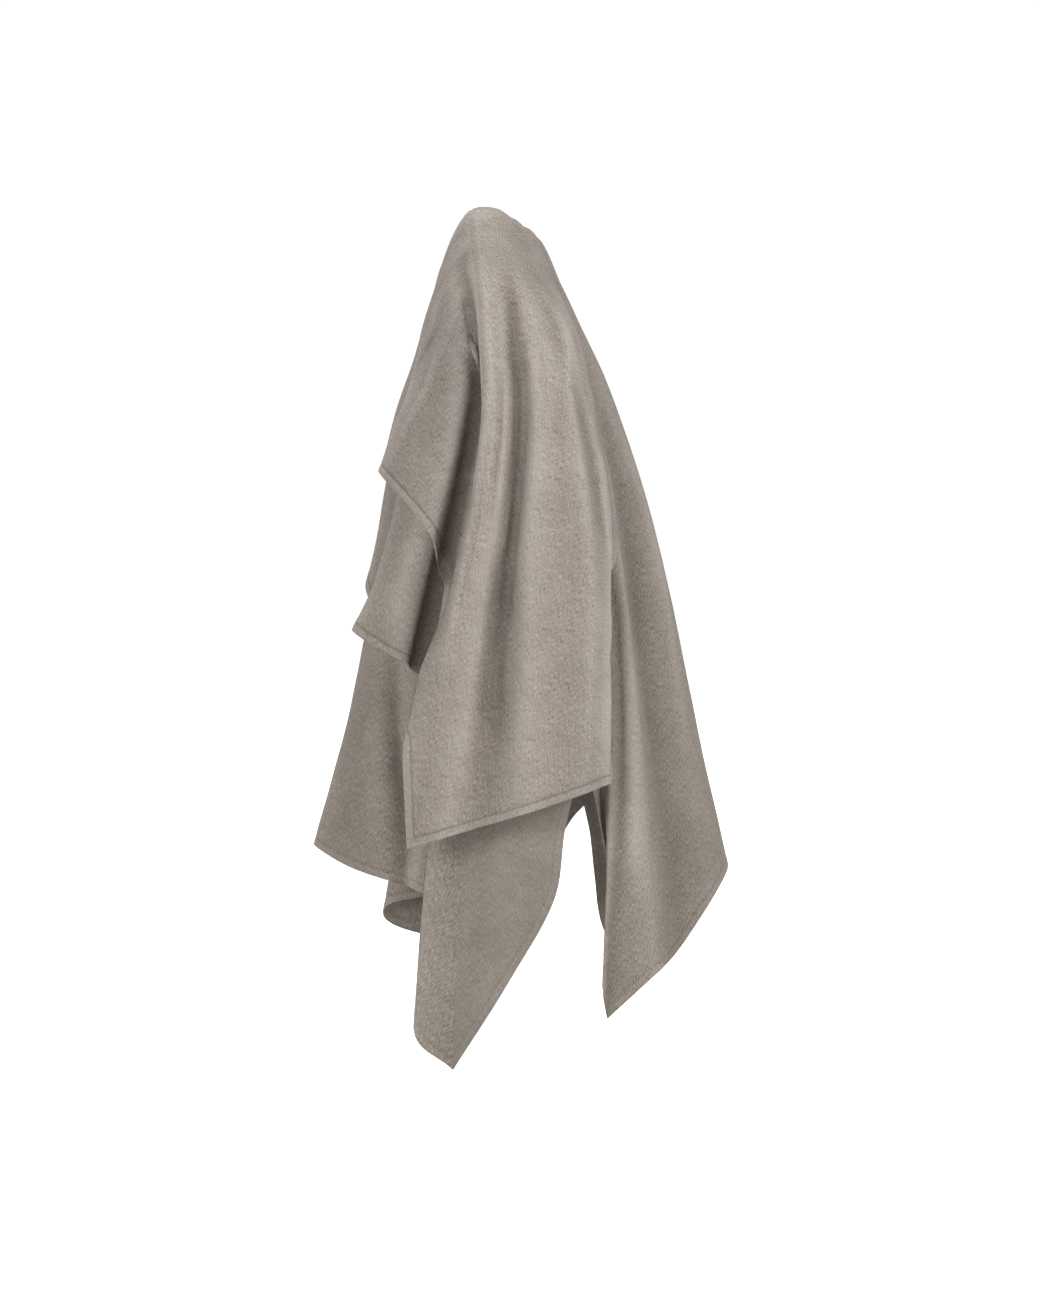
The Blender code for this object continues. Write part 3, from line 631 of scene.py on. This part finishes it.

# %% [markdown]
# ## Creases placed one by one
# Besides the long folds, the real cloth has small soft troughs and ridges where it is gathered, pulled or
# pressed. They are drawn one by one, as with a soft sculpting brush. Each row gives a piece, the stroke's
# width, its height (below zero for a trough) and its path: places in the fold table and shares of the length
# down. A stroke fades out towards both ends. The body's lines are counted from the far seam, over the front,
# to the back. A deep trough in the scarf presses the cloth under it in as well.

# %% Creases
Crease = namedtuple("Crease", "piece width height path")
CREASES = (
    ("over_wrap", 25, -4.6, ((14.9, 0.24), (15.4, 0.40), (15.2, 0.60), (14.6, 0.74), (14.4, 0.92))),
    ("over_wrap", 8, 2.2, ((14.9, 0.30), (15.2, 0.40), (15.0, 0.56), (14.6, 0.74))),
    ("over_wrap", 6, -1.5, ((15.7, 0.27), (16.1, 0.35), (16.3, 0.42))),
    (
        "over_wrap", 6, 3.4,
        ((16.4, 0.20), (17.0, 0.30), (17.8, 0.41), (18.2, 0.50), (18.2, 0.62), (18.0, 0.78), (17.8, 1.10)),
    ),
    ("over_wrap", 20, 12.0, ((18.0, 0.16), (18.3, 0.38), (18.3, 0.56), (18.1, 0.80))),
    ("over_wrap", 6, 1.2, ((12.8, 0.22), (12.8, 0.34), (12.4, 0.49), (12.7, 0.60), (12.8, 0.80))),
    ("over_wrap", 9, -1.6, ((13.6, 0.34), (13.7, 0.46), (13.6, 0.56))),
    ("over_wrap", 14, -14.0, ((10.4, 0.18), (10.1, 0.40), (9.8, 0.60), (9.7, 0.85), (9.7, 1.40))),
    ("over_wrap", 17, -6.0, ((12.1, 0.56), (12.05, 0.80), (12.05, 1.02))),
    ("over_wrap", 5, -1.2, ((8.4, 0.46), (9.0, 0.52), (9.6, 0.54))),
    ("over_wrap", 4, 1.6, ((10.0, 0.32), (9.3, 0.40), (7.9, 0.56), (7.4, 0.78), (7.2, 1.10))),
    ("over_wrap", 8, -2.6, ((9.4, 0.30), (8.7, 0.38), (7.3, 0.54), (6.7, 0.78), (6.5, 1.10))),
    ("over_wrap", 6, 0.9, ((8.5, 0.05), (12.0, 0.06), (16.5, 0.06))),
    ("over_wrap", 12, -2.4, ((0.6, 0.30), (1.9, 0.52), (3.6, 0.66))),
    ("over_wrap", 10, 1.6, ((1.2, 0.28), (2.6, 0.46), (4.4, 0.56))),
    ("over_wrap", 12, -2.0, ((4.3, 0.30), (5.0, 0.55), (5.2, 0.85))),
    ("under_wrap", 17, -14.0, ((9.5, 0.50), (9.5, 0.80), (9.5, 1.40))),
    ("under_wrap", 10, -1.8, ((2.2, 0.55), (3.6, 0.78), (4.6, 0.92))),
    ("front_panel", 20, -11.0, ((13.3, 0.60), (13.7, 0.78), (14.3, 0.92), (14.8, 1.20))),
    ("front_panel", 13, -3.0, ((3.4, 0.30), (3.9, 0.55), (4.3, 0.85))),
    ("front_panel", 12, 2.2, ((9.1, 0.50), (9.0, 0.70), (8.9, 0.95))),
    ("front_panel", 15, -3.2, ((11.2, 0.55), (11.5, 0.75), (11.3, 0.95))),
    ("front_panel", 12, -2.4, ((18.6, 0.72), (18.4, 0.86), (18.2, 0.97))),
    ("back_panel", 14, -3.2, ((27.4, 0.40), (27.2, 0.58), (27.0, 0.80))),
    ("back_panel", 8, 2.6, ((25.5, 0.55), (25.6, 0.70), (25.7, 0.90))),
    ("back_panel", 10, 1.6, ((28.1, 0.30), (28.0, 0.55), (27.8, 0.80))),
    ("back_panel", 13, -3.0, ((30.2, 0.25), (30.0, 0.50), (29.9, 0.85))),
    ("back_panel", 12, -2.6, ((32.4, 0.30), (32.2, 0.55), (31.9, 0.90))),
    ("back_panel", 10, 2.0, ((33.4, 0.35), (33.3, 0.60), (33.2, 0.90))),
    ("back_panel", 11, -2.2, ((35.6, 0.30), (35.2, 0.60), (34.9, 0.85))),
)
STROKE_STEPS = 48
STROKE_FADE = 0.7
LINE_SHARE = 0.05
LIFT_EVENING = 5
FACING_SAME = 0.2
CARRY_REACH = 18.0
WIDEST_RIDGE = 11


def stroke_spots(sheet, path):
    """The grid spots along a stroke, and how far along it each of them lies."""
    lines, shares = np.array(path).T
    steps = np.hypot(np.diff(lines) * LINE_SHARE, np.diff(shares))
    passed = np.concatenate([[0.0], np.cumsum(steps)]) / steps.sum()
    along = np.linspace(0, 1, STROKE_STEPS)
    columns = np.abs(sheet.place[None, :] - np.interp(along, passed, lines)[:, None]).argmin(axis=1)
    rows = np.abs(sheet.down[None, :] - np.interp(along, passed, shares)[:, None]).argmin(axis=1)
    return columns, rows, along


def crease_move(crease):
    """How far one stroke moves each point of its panel along the normal."""
    sheet, faces = panels[crease.piece], normals[crease.piece]
    nearest = np.full(sheet.points.shape[:2], np.inf)
    strength = np.zeros(sheet.points.shape[:2])
    for column, row, share in zip(*stroke_spots(sheet, crease.path)):
        gap = np.linalg.norm(sheet.points - sheet.points[column, row], axis=2)
        gap = np.where(np.sum(faces * faces[column, row], axis=2) > FACING_SAME, gap, np.inf)
        closer = gap < nearest
        nearest = np.where(closer, gap, nearest)
        strength = np.where(closer, max(np.sin(np.pi * share), 0.0) ** STROKE_FADE, strength)
    return crease.height * strength * np.exp(-((nearest / crease.width) ** 2))


def carried(upper, lower):
    """How far the troughs of an upper layer press the layer under it in."""
    tree = KDTree(panels[upper].points[:, :, 0].size)
    for number, point in enumerate(panels[upper].points.reshape(-1, 3)):
        tree.insert(point, number)
    tree.balance()
    above, points = lifts[upper].ravel(), panels[lower].points
    press = np.zeros(points.shape[:2])
    for spot in np.ndindex(press.shape):
        _, number, gap = tree.find(points[spot])
        press[spot] = min(above[number], 0.0) * np.clip(2 - 2 * gap / CARRY_REACH, 0, 1)
    return press


lifts = {name: np.zeros(sheet.points.shape[:2]) for name, sheet in panels.items()}
ridges = {name: np.zeros(sheet.points.shape[:2]) for name, sheet in panels.items()}
for row in CREASES:
    crease = Crease(*row)
    move = crease_move(crease)
    lifts[crease.piece] += move
    if crease.height > 0 and crease.width < WIDEST_RIDGE:
        ridges[crease.piece] += move
lifts["under_wrap"] = np.minimum(lifts["under_wrap"], carried("over_wrap", "under_wrap"))
for name in ("front_panel", "back_panel"):
    pressed_in = np.minimum(carried("over_wrap", name), carried("under_wrap", name))
    lifts[name] = np.where(pressed_in < 0, np.minimum(lifts[name], pressed_in), lifts[name])
lifts = {name: evened(lift, LIFT_EVENING) for name, lift in lifts.items()}
print("creases drawn:", len(CREASES))

# %% [markdown]
# ## Uneven cloth and rolled hems
# A felted cloth is never quite even. Two slow noises lift and sink it by up to a millimetre. At the hem the
# edge is turned once and stitched: the turned strip stands a little proud, and the stitches pull a shallow
# groove beside it. The poncho's own hems are pressed flatter than the scarf's.

# %% Unevenness and hems
SWELLS = ((90.0, 0.9), (28.0, 0.12))
HEM_WIDTH = 10.0
HEM_RISE = 0.55
GROOVE_DEPTH = 0.7
GROOVE_WIDTH = 2.2
HEM_SOFTNESS = 3.0
BODY_HEM = 0.4
SWELL_AT_EDGE = 0.15


def swell_at(points):
    """Slow unevenness over a grid of points, from noise read at each one."""
    lift = np.zeros(points.shape[:2])
    for size, height in SWELLS:
        for spot in np.ndindex(lift.shape):
            lift[spot] += height * noise.noise(Vector(points[spot] / size))
    return lift


shaped = {}
for name, sheet in panels.items():
    away = hems[name][0]
    deep = 1.0 if "wrap" in name else BODY_HEM
    strip = deep * HEM_RISE / (1 + np.exp((away - HEM_WIDTH) / HEM_SOFTNESS * 2))
    groove = -deep * GROOVE_DEPTH * np.exp(-(((away - HEM_WIDTH) / GROOVE_WIDTH) ** 2))
    fade = np.clip(away / FAR_FROM_HEM, SWELL_AT_EDGE, 1)
    lift = lifts[name] + swell_at(sheet.points) * fade + strip + groove
    shaped[name] = sheet.points + normals[name] * lift[:, :, None]

# %% [markdown]
# ## Painted shade and highlight of the folds
# The colour is painted darker in the valleys, as painted shade, and paler on the crests, as painted
# highlight.
# The bend of the cloth, read over about 15 mm and again over about 35 mm either way, tells which it is, and
# is kept with each point for the material to use. In the deepest creases the painted shade is darkest of all,
# and on the narrow ridges drawn above the painted highlight is brightest.

# %% Painted shade and highlight of the folds
BEND_SHADE_REACHES = ((3, 0.020), (7, 0.012))
PAINTED_LIGHT_EVENING = 6
DEEP_FROM = 4.5
DEEP_LIFT = 5.5
HIGHLIGHT_LIFT = 2.4
DARKEST_PAINTED_SHADE = -1.3
BRIGHTEST_PAINTED_HIGHLIGHT = 1.6


def bend_over(points, faces, reach):
    """How much the cloth bends outwards over a number of grid steps both ways, in 1/mm."""
    bend = np.zeros(points.shape[:2])
    for axis in (0, 1):
        moved = np.moveaxis(points, axis, 0)
        wide = np.pad(moved, ((reach, reach), (0, 0), (0, 0)), mode="edge")
        before, after = wide[: -2 * reach], wide[2 * reach :]
        sag = np.moveaxis((before + after) / 2 - moved, 0, axis)
        half = np.moveaxis(np.linalg.norm(after - before, axis=2) / 2, 0, axis)
        inside = np.clip(np.sum(sag * faces, axis=2) / np.maximum(half, 1.0) ** 2, -1, 1)
        rim = [slice(None), slice(None)]
        rim[axis] = np.r_[0:reach, -reach:0]
        inside[tuple(rim)] = 0
        bend -= inside
    return bend


# Painted shade in the valleys and deep creases, painted highlight on the crests and drawn ridges.
painted_fold_light = {}
for name, points in shaped.items():
    parts = [np.tanh(bend_over(points, normals[name], reach) / strong) for reach, strong in BEND_SHADE_REACHES]
    painted_crease_shade = np.clip((lifts[name] + DEEP_FROM) / DEEP_LIFT, DARKEST_PAINTED_SHADE, 0)
    painted_ridge_highlight = np.clip(ridges[name] / HIGHLIGHT_LIFT, 0, BRIGHTEST_PAINTED_HIGHLIGHT)
    painted_fold_light[name] = evened(sum(parts) / len(parts) + painted_crease_shade + painted_ridge_highlight, PAINTED_LIGHT_EVENING)
    print(name, "nap from", round(float(painted_fold_light[name].min()), 2), "to", round(float(painted_fold_light[name].max()), 2))

# %% [markdown]
# ## From a grid to cloth with two faces
# A grid primitive gives the faces, its points are put in their places, and a Solidify modifier gives the
# cloth its thickness. Where a pleat lies folded on itself the wall is thinner, as the layers are pressed
# together there. The modifier reads that from a vertex group. Two UV maps go with it: one runs with the
# grain of the cloth, and the other measures from the hem.

# %% Cloth pieces
WALL = 2.4
THINNEST = 0.25
RAY_START = 0.3
RAY_REACH = 8.0
ROOM_SHARE = 0.7
PIECE_NAMES = {
    "front_panel": "front_panel_cloth",
    "back_panel": "back_panel_cloth",
    "under_wrap": "scarf_inner_turn",
    "over_wrap": "scarf_outer_turn",
}


def room_share(points, faces):
    """The share of its thickness that each point may have, less where the cloth lies folded on itself."""
    tree, _ = tree_of(points)
    share = np.ones(points.shape[:2])
    for spot in np.ndindex(share.shape):
        for normal in (faces[spot], -faces[spot]):
            distance = tree.ray_cast(points[spot] + normal * RAY_START, normal, RAY_REACH)[3]
            if distance is not None:
                share[spot] = min(share[spot], ROOM_SHARE * (distance + RAY_START) / WALL)
    return np.clip(share, THINNEST, 1)


def grain_map(points):
    """Places on the flat cloth in metres: across it from its middle column, and down it from the collar."""
    steps_across = np.linalg.norm(np.diff(points, axis=0), axis=2)
    across = np.concatenate([np.zeros((1, points.shape[1])), np.cumsum(steps_across, axis=0)])
    across -= across[len(points) // 2]
    steps_down = np.linalg.norm(np.diff(points, axis=1), axis=2)
    down = np.concatenate([np.zeros((len(points), 1)), np.cumsum(steps_down, axis=1)], axis=1)
    return np.stack([across, down], axis=-1) * MM


def cloth_piece(name):
    """One panel of cloth as an object with its thickness, its grain and its hem measure."""
    points, faces = shaped[name], normals[name]
    across, down = points.shape[0] - 1, points.shape[1] - 1
    bm = bmesh.new()
    bmesh.ops.create_grid(bm, x_segments=across, y_segments=down, size=1)
    column = bm.verts.layers.int.new("column")
    row = bm.verts.layers.int.new("row")
    hold = np.array([0.0, 0.0, HOLD_DROP])
    for vert in bm.verts:
        vert[column] = round((vert.co.x + 1) / 2 * across)
        vert[row] = round((vert.co.y + 1) / 2 * down)
        vert.co = (points[vert[column], vert[row]] + hold) * MM
    grain, hem = bm.loops.layers.uv.new("grain"), bm.loops.layers.uv.new("hem")
    flat, (away, at) = grain_map(points), hems[name]
    for face in bm.faces:
        for loop in face.loops:
            spot = loop.vert[column], loop.vert[row]
            loop[grain].uv = flat[spot]
            loop[hem].uv = (at[spot] * MM, away[spot] * MM)
    bm.faces.ensure_lookup_table()
    middle = bm.faces[len(bm.faces) // 2]
    spot = middle.verts[0][column], middle.verts[0][row]
    if middle.normal @ Vector(faces[spot]) < 0:
        bmesh.ops.reverse_faces(bm, faces=bm.faces[:])
    mesh = bpy.data.meshes.new(PIECE_NAMES[name])
    bm.to_mesh(mesh)
    spots = [(vert[column], vert[row]) for vert in bm.verts]
    bm.free()
    # This attribute carries the painted fold shade and highlight to the material.
    painted_light_attribute = mesh.attributes.new("painted_fold_light", "FLOAT", "POINT")
    painted_light_attribute.data.foreach_set("value", [float(painted_fold_light[name][spot]) for spot in spots])
    mesh.shade_smooth()
    piece = bpy.data.objects.new(PIECE_NAMES[name], mesh)
    bpy.context.scene.collection.objects.link(piece)
    group = piece.vertex_groups.new(name="wall")
    share = room_share(points, faces)
    for number, spot in enumerate(spots):
        group.add([number], float(share[spot]), "REPLACE")
    wall = piece.modifiers.new("wall", "SOLIDIFY")
    wall.thickness = WALL * MM
    wall.offset = 0.0
    wall.use_rim = True
    wall.vertex_group = "wall"
    return piece


pieces = {name: cloth_piece(name) for name in panels}
for name, piece in pieces.items():
    print(piece.name, "faces on one side:", len(piece.data.polygons))

# %% [markdown]
# ## Brushed wool
# The cloth is a melange wool, woven, then felted and brushed: pale and dark fibres lie mixed and mostly one
# way, so it shows as a warm grey with short soft streaks along the grain. Its nap scatters light at the
# edges of the folds, which a sheen gives. A single colour would look like painted card, so three noises mix
# the fibres: one for the fibres themselves, stretched along the grain, one for small clouds of colour from
# felting, and one for slow changes over a hand's width. Fibres of 20 microns can't show at this size, so the
# streaks are drawn as tufts about 1 mm across and 5 mm long.
# Over the fibres the colour also carries painted shade in the valleys and painted highlight on the crests,
# and at the hem a painted highlight on the turned strip and painted shade on the line of stitches.

# %% Colours and a node helper
def linear(hex_colour):
    """An sRGB hex colour as linear values with alpha."""
    values = [int(hex_colour[i : i + 2], 16) / 255 for i in (1, 3, 5)]
    return tuple(v / 12.92 if v <= 0.04045 else ((v + 0.055) / 1.055) ** 2.4 for v in values) + (1.0,)


def add_node(tree, kind, settings=None, **inputs):
    """A node with its settings, and with each input given as a value or as another node's output."""
    node = tree.nodes.new(kind)
    for key, value in (settings or {}).items():
        setattr(node, key, value)
    for key, value in inputs.items():
        numbered = key[0] == "i" and key[1:].isdigit()
        socket = node.inputs[int(key[1:]) if numbered else key.replace("_", " ")]
        if isinstance(value, bpy.types.NodeSocket):
            tree.links.new(value, socket)
        else:
            socket.default_value = value
    return node


print("pale fibre of the scarf:", [round(v, 3) for v in linear("#b0a79f")])

# %% The wool
TUFT_ACROSS, TUFT_ALONG = 0.0009, 0.0048
CLOUD = 0.012
SLOW_PATCH = 0.075
TUFT_SHARE, CLOUD_SHARE, SLOW_SHARE = 0.80, 0.10, 0.10
# The painted fold shade and highlight shift the colour along the ramp; its first and last stops are the
# painted shade of the deepest creases and the painted highlight of the ridges.
PAINTED_FOLD_SHIFT = 0.10
PAINTED_SHADE_AT, DARK_AT, MIDDLE_AT, PALE_AT, PAINTED_HIGHLIGHT_AT = 0.20, 0.39, 0.50, 0.61, 0.95
PAINTED_SHADE_WOOL, PAINTED_HIGHLIGHT_WOOL = "#4e4740", "#d9d1cb"
STITCHED_AT = HEM_WIDTH * MM
STITCH_LENGTH = 0.0034
STITCH_WIDTH = 0.0007
# The hem's turned strip is painted paler, a painted highlight where it stands proud, and its stitch line
# darker, painted shade in the groove.
PAINTED_STRIP_HIGHLIGHT, PAINTED_GROOVE_SHADE = 0.12, 0.45
CLOUD_BUMP, LINE_BUMP, STITCH_BUMP = 0.35, -1.4, 0.9
NAP_HEIGHT = 0.0007
FUZZ = 0.04
MATH, NOISE, RANGE, MIX = "ShaderNodeMath", "ShaderNodeTexNoise", "ShaderNodeMapRange", "ShaderNodeMix"
TIMES, TIMES_PLUS = {"operation": "MULTIPLY"}, {"operation": "MULTIPLY_ADD"}
SOFTLY = {"interpolation_type": "SMOOTHSTEP"}
COLOURS = {"data_type": "RGBA"}


def fibre_colours(tree, dark, middle, pale, grain):
    """The mixed fibres' colour with the painted fold shade and highlight, and the noises of the tufts and of
    the clouds, which the roughness and the bump need too.
    """
    place = add_node(tree, "ShaderNodeTexCoord").outputs["Object"]
    per_metre = (1 / TUFT_ACROSS, 1 / TUFT_ALONG, 1)
    streaks = add_node(tree, "ShaderNodeMapping", None, Vector=grain, Scale=per_metre).outputs[0]
    tufts = add_node(tree, NOISE, None, Vector=streaks, Scale=1.0, Detail=4.0, Roughness=0.62).outputs[0]
    clouds = add_node(tree, NOISE, None, Vector=place, Scale=1 / CLOUD, Detail=3.0, Roughness=0.55).outputs[0]
    slow = add_node(tree, NOISE, None, Vector=place, Scale=1 / SLOW_PATCH, Detail=2.0).outputs[0]
    part = add_node(tree, MATH, TIMES, i0=tufts, i1=TUFT_SHARE).outputs[0]
    part = add_node(tree, MATH, TIMES_PLUS, i0=clouds, i1=CLOUD_SHARE, i2=part).outputs[0]
    part = add_node(tree, MATH, TIMES_PLUS, i0=slow, i1=SLOW_SHARE, i2=part).outputs[0]
    # The attribute read here is painted shade in the valleys and painted highlight on the crests, added to
    # the fibres.
    painted_light_attribute = add_node(tree, "ShaderNodeAttribute", {"attribute_name": "painted_fold_light"}).outputs["Fac"]
    mixed = add_node(tree, MATH, TIMES_PLUS, i0=painted_light_attribute, i1=PAINTED_FOLD_SHIFT, i2=part).outputs[0]
    ramp = add_node(tree, "ShaderNodeValToRGB", None, Fac=mixed)
    stops = ramp.color_ramp.elements
    stops[0].position, stops[1].position = DARK_AT, PALE_AT
    stops[0].color, stops[1].color = linear(dark), linear(pale)
    # The darkest and the palest stops are reached mostly through that attribute: painted shade and painted
    # highlight.
    for at, colour in ((MIDDLE_AT, middle), (PAINTED_SHADE_AT, PAINTED_SHADE_WOOL), (PAINTED_HIGHLIGHT_AT, PAINTED_HIGHLIGHT_WOOL)):
        stops.new(at).color = linear(colour)
    return ramp.outputs[0], tufts, clouds


def melange_wool(name, dark, middle, pale, marked):
    """Brushed melange wool: mixed fibres along the grain, soft clouds, painted fold shade and highlight, a
    stitched hem with a painted highlight on its strip and painted shade on its stitch line, and a fine fibre
    bump.
    """
    material = bpy.data.materials.new(name)
    material.use_nodes = True
    tree = material.node_tree
    surface = tree.nodes["Principled BSDF"]
    grain = add_node(tree, "ShaderNodeUVMap", {"uv_map": "grain"}).outputs["UV"]
    fibres, tufts, clouds = fibre_colours(tree, dark, middle, pale, grain)
    hem = add_node(tree, "ShaderNodeUVMap", {"uv_map": "hem"}).outputs["UV"]
    parts = add_node(tree, "ShaderNodeSeparateXYZ", None, Vector=hem).outputs
    along, away = parts["X"], parts["Y"]
    beside = add_node(tree, MATH, {"operation": "SUBTRACT"}, i0=away, i1=STITCHED_AT).outputs[0]
    beside = add_node(tree, MATH, {"operation": "ABSOLUTE"}, i0=beside).outputs[0]
    spread = {"i1": STITCH_WIDTH, "i2": 2.4 * STITCH_WIDTH, "i3": 1.0, "i4": 0.0}
    on_line = add_node(tree, RANGE, SOFTLY, Value=beside, **spread).outputs[0]
    turn = add_node(tree, MATH, TIMES, i0=along, i1=2 * np.pi / STITCH_LENGTH).outputs[0]
    wave = add_node(tree, MATH, {"operation": "SINE"}, i0=turn).outputs[0]
    dash = add_node(tree, RANGE, SOFTLY, Value=wave, i1=-0.7, i2=0.1, i3=0.0, i4=1.0).outputs[0]
    stitch = add_node(tree, MATH, TIMES, i0=on_line, i1=dash).outputs[0]
    # Painted highlight on the turned strip, then painted shade along the line of stitches.
    fall = {"i1": 0.7 * STITCHED_AT, "i2": 1.05 * STITCHED_AT, "i3": PAINTED_STRIP_HIGHLIGHT * marked, "i4": 0.0}
    in_strip = add_node(tree, RANGE, SOFTLY, Value=away, **fall).outputs[0]
    paler = add_node(tree, MIX, COLOURS, i0=in_strip, i6=fibres, i7=linear(pale)).outputs[2]
    shaded = add_node(tree, MATH, TIMES, i0=on_line, i1=PAINTED_GROOVE_SHADE * marked).outputs[0]
    coloured = add_node(tree, MIX, COLOURS, i0=shaded, i6=paler, i7=linear(dark)).outputs[2]
    tree.links.new(coloured, surface.inputs["Base Color"])
    rough = add_node(tree, RANGE, None, Value=tufts, i1=0.3, i2=0.7, i3=0.98, i4=0.86).outputs[0]
    tree.links.new(rough, surface.inputs["Roughness"])
    fluff = add_node(tree, MATH, TIMES_PLUS, i0=clouds, i1=CLOUD_BUMP, i2=tufts).outputs[0]
    sunk = add_node(tree, MATH, TIMES_PLUS, i0=on_line, i1=LINE_BUMP * marked, i2=fluff).outputs[0]
    height = add_node(tree, MATH, TIMES_PLUS, i0=stitch, i1=STITCH_BUMP * marked, i2=sunk).outputs[0]
    bump = add_node(tree, "ShaderNodeBump", None, Height=height, Strength=0.55, Distance=NAP_HEIGHT)
    tree.links.new(bump.outputs[0], surface.inputs["Normal"])
    surface.inputs["Specular IOR Level"].default_value = 0.2
    surface.inputs["Sheen Weight"].default_value = FUZZ
    surface.inputs["Sheen Roughness"].default_value = 0.45
    surface.inputs["Sheen Tint"].default_value = linear("#efe8e2")
    return material


# The panels wear the scarf's wool a little darker: painted shade, as they hang below and under the scarf.
WOOLS = {
    "front_panel": melange_wool("melange_wool_front", "#6f675e", "#8e857b", "#aaa197", 0.35),
    "back_panel": melange_wool("melange_wool_back", "#6f675e", "#8e857b", "#aaa197", 0.35),
    "under_wrap": melange_wool("melange_wool_inner_turn", "#736a62", "#938a80", "#afa69d", 0.8),
    "over_wrap": melange_wool("melange_wool_outer_turn", "#736a62", "#938a81", "#b0a79f", 1.0),
}
for name, piece in pieces.items():
    piece.data.materials.append(WOOLS[name])
    print(piece.name, "wears", WOOLS[name].name)

# %% [markdown]
# ## Each piece on the body
# Every piece rides on the one body and stands for its solid, whose own mesh is hidden.

# %% Pieces on the body
Cut = namedtuple("Cut", "width length area held rests_on")
for name, piece in pieces.items():
    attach(piece, "root")
    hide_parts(name)

# %% [markdown]
# ## A pale studio
# A wide pale floor and a faint white sky make the soft shade of a product picture. Two soft lamps stand on
# the camera's side, left and right of it, a third hangs over the collar, and two weaker ones light the far
# side and the back. The one on the right is the key lamp: it gives the long folds a bright and a dark flank.

# %% Floor and light
FLOOR_GAP = 0.004
FLOOR_Z = float(CAD_BOX[0][2]) - FLOOR_GAP
FLOOR_SIZE = 30.0
SKY_LIGHT = 0.12
SKY_SEEN = 1.05
FLOOR_SEEN = 0.93
LIT = (0.0, 0.02, -0.45)
LAMPS = (
    ("key_lamp", (2.7, 1.9, 0.45), 0.9, 47),
    ("front_lamp", (2.5, -2.1, 0.5), 1.2, 44),
    ("top_lamp", (0.2, 0.1, 3.0), 1.2, 58),
    ("back_lamp", (-2.4, 2.3, 0.6), 1.4, 30),
    ("far_lamp", (-2.6, -1.6, 1.4), 1.6, 38),
)


def studio_floor():
    """A plain pale floor under the lowest corner."""
    bm = bmesh.new()
    bmesh.ops.create_grid(bm, x_segments=1, y_segments=1, size=FLOOR_SIZE / 2)
    for vert in bm.verts:
        vert.co.z = FLOOR_Z
    mesh = bpy.data.meshes.new("studio_floor")
    bm.to_mesh(mesh)
    bm.free()
    floor = bpy.data.objects.new("studio_floor", mesh)
    bpy.context.scene.collection.objects.link(floor)
    paint = bpy.data.materials.new("matt_white_paint")
    paint.use_nodes = True
    surface = paint.node_tree.nodes["Principled BSDF"]
    surface.inputs["Base Color"].default_value = linear("#fbfbfb")
    surface.inputs["Roughness"].default_value = 1.0
    surface.inputs["Specular IOR Level"].default_value = 0.0
    surface.inputs["Emission Color"].default_value = linear("#ffffff")
    seen = add_node(paint.node_tree, "ShaderNodeLightPath").outputs["Is Camera Ray"]
    glow = add_node(paint.node_tree, RANGE, None, Value=seen, i3=0.0, i4=FLOOR_SEEN).outputs[0]
    paint.node_tree.links.new(glow, surface.inputs["Emission Strength"])
    mesh.materials.append(paint)


def soft_lamp(name, place, size, power):
    """A square area lamp that looks at the garment, with its size in metres and its power in watts."""
    data = bpy.data.lights.new(name, "AREA")
    data.size = size
    data.energy = power
    lamp = bpy.data.objects.new(name, data)
    lamp.location = place
    lamp.rotation_euler = (Vector(LIT) - Vector(place)).to_track_quat("-Z", "Y").to_euler()
    bpy.context.scene.collection.objects.link(lamp)


studio_floor()
for lamp in LAMPS:
    soft_lamp(*lamp)
sky = bpy.data.worlds.new("studio_sky")
sky.use_nodes = True
background = sky.node_tree.nodes["Background"]
background.inputs["Color"].default_value = linear("#ffffff")
seen = add_node(sky.node_tree, "ShaderNodeLightPath").outputs["Is Camera Ray"]
glow = add_node(sky.node_tree, RANGE, None, Value=seen, i3=SKY_LIGHT, i4=SKY_SEEN).outputs[0]
sky.node_tree.links.new(glow, background.inputs["Strength"])
bpy.context.scene.world = sky
bpy.context.scene.view_settings.view_transform = "Standard"
print("floor at", round(FLOOR_Z, 3), "m")

# %% [markdown]
# ## The camera
# The picture was taken from the garment's left, a little above the middle of the garment, with a long lens.
# At 5.5 m, 1.25 mm of the cloth falls on one pixel of a picture 1300 pixels high.

# %% Camera
PICTURE_HEIGHT = 1300
MM_PER_PIXEL = 1.25
DISTANCE = 5.5
ELEVATION = 5.5
AIM_DROP = 550.0
AIM = Vector((0.0, 0.019, (HOLD_DROP - AIM_DROP) * MM))
SENSOR = 24.0
data = bpy.data.cameras.new("picture_camera")
data.sensor_fit = "VERTICAL"
data.sensor_height = SENSOR
data.lens = DISTANCE / MM / (MM_PER_PIXEL * PICTURE_HEIGHT) * SENSOR
camera = bpy.data.objects.new("picture_camera", data)
rise = np.radians(ELEVATION)
camera.location = AIM + DISTANCE * Vector((np.cos(rise), 0.0, np.sin(rise)))
camera.rotation_euler = (AIM - camera.location).to_track_quat("-Z", "Y").to_euler()
bpy.context.scene.collection.objects.link(camera)
bpy.context.scene.camera = camera
print("lens:", round(data.lens, 1), "mm")
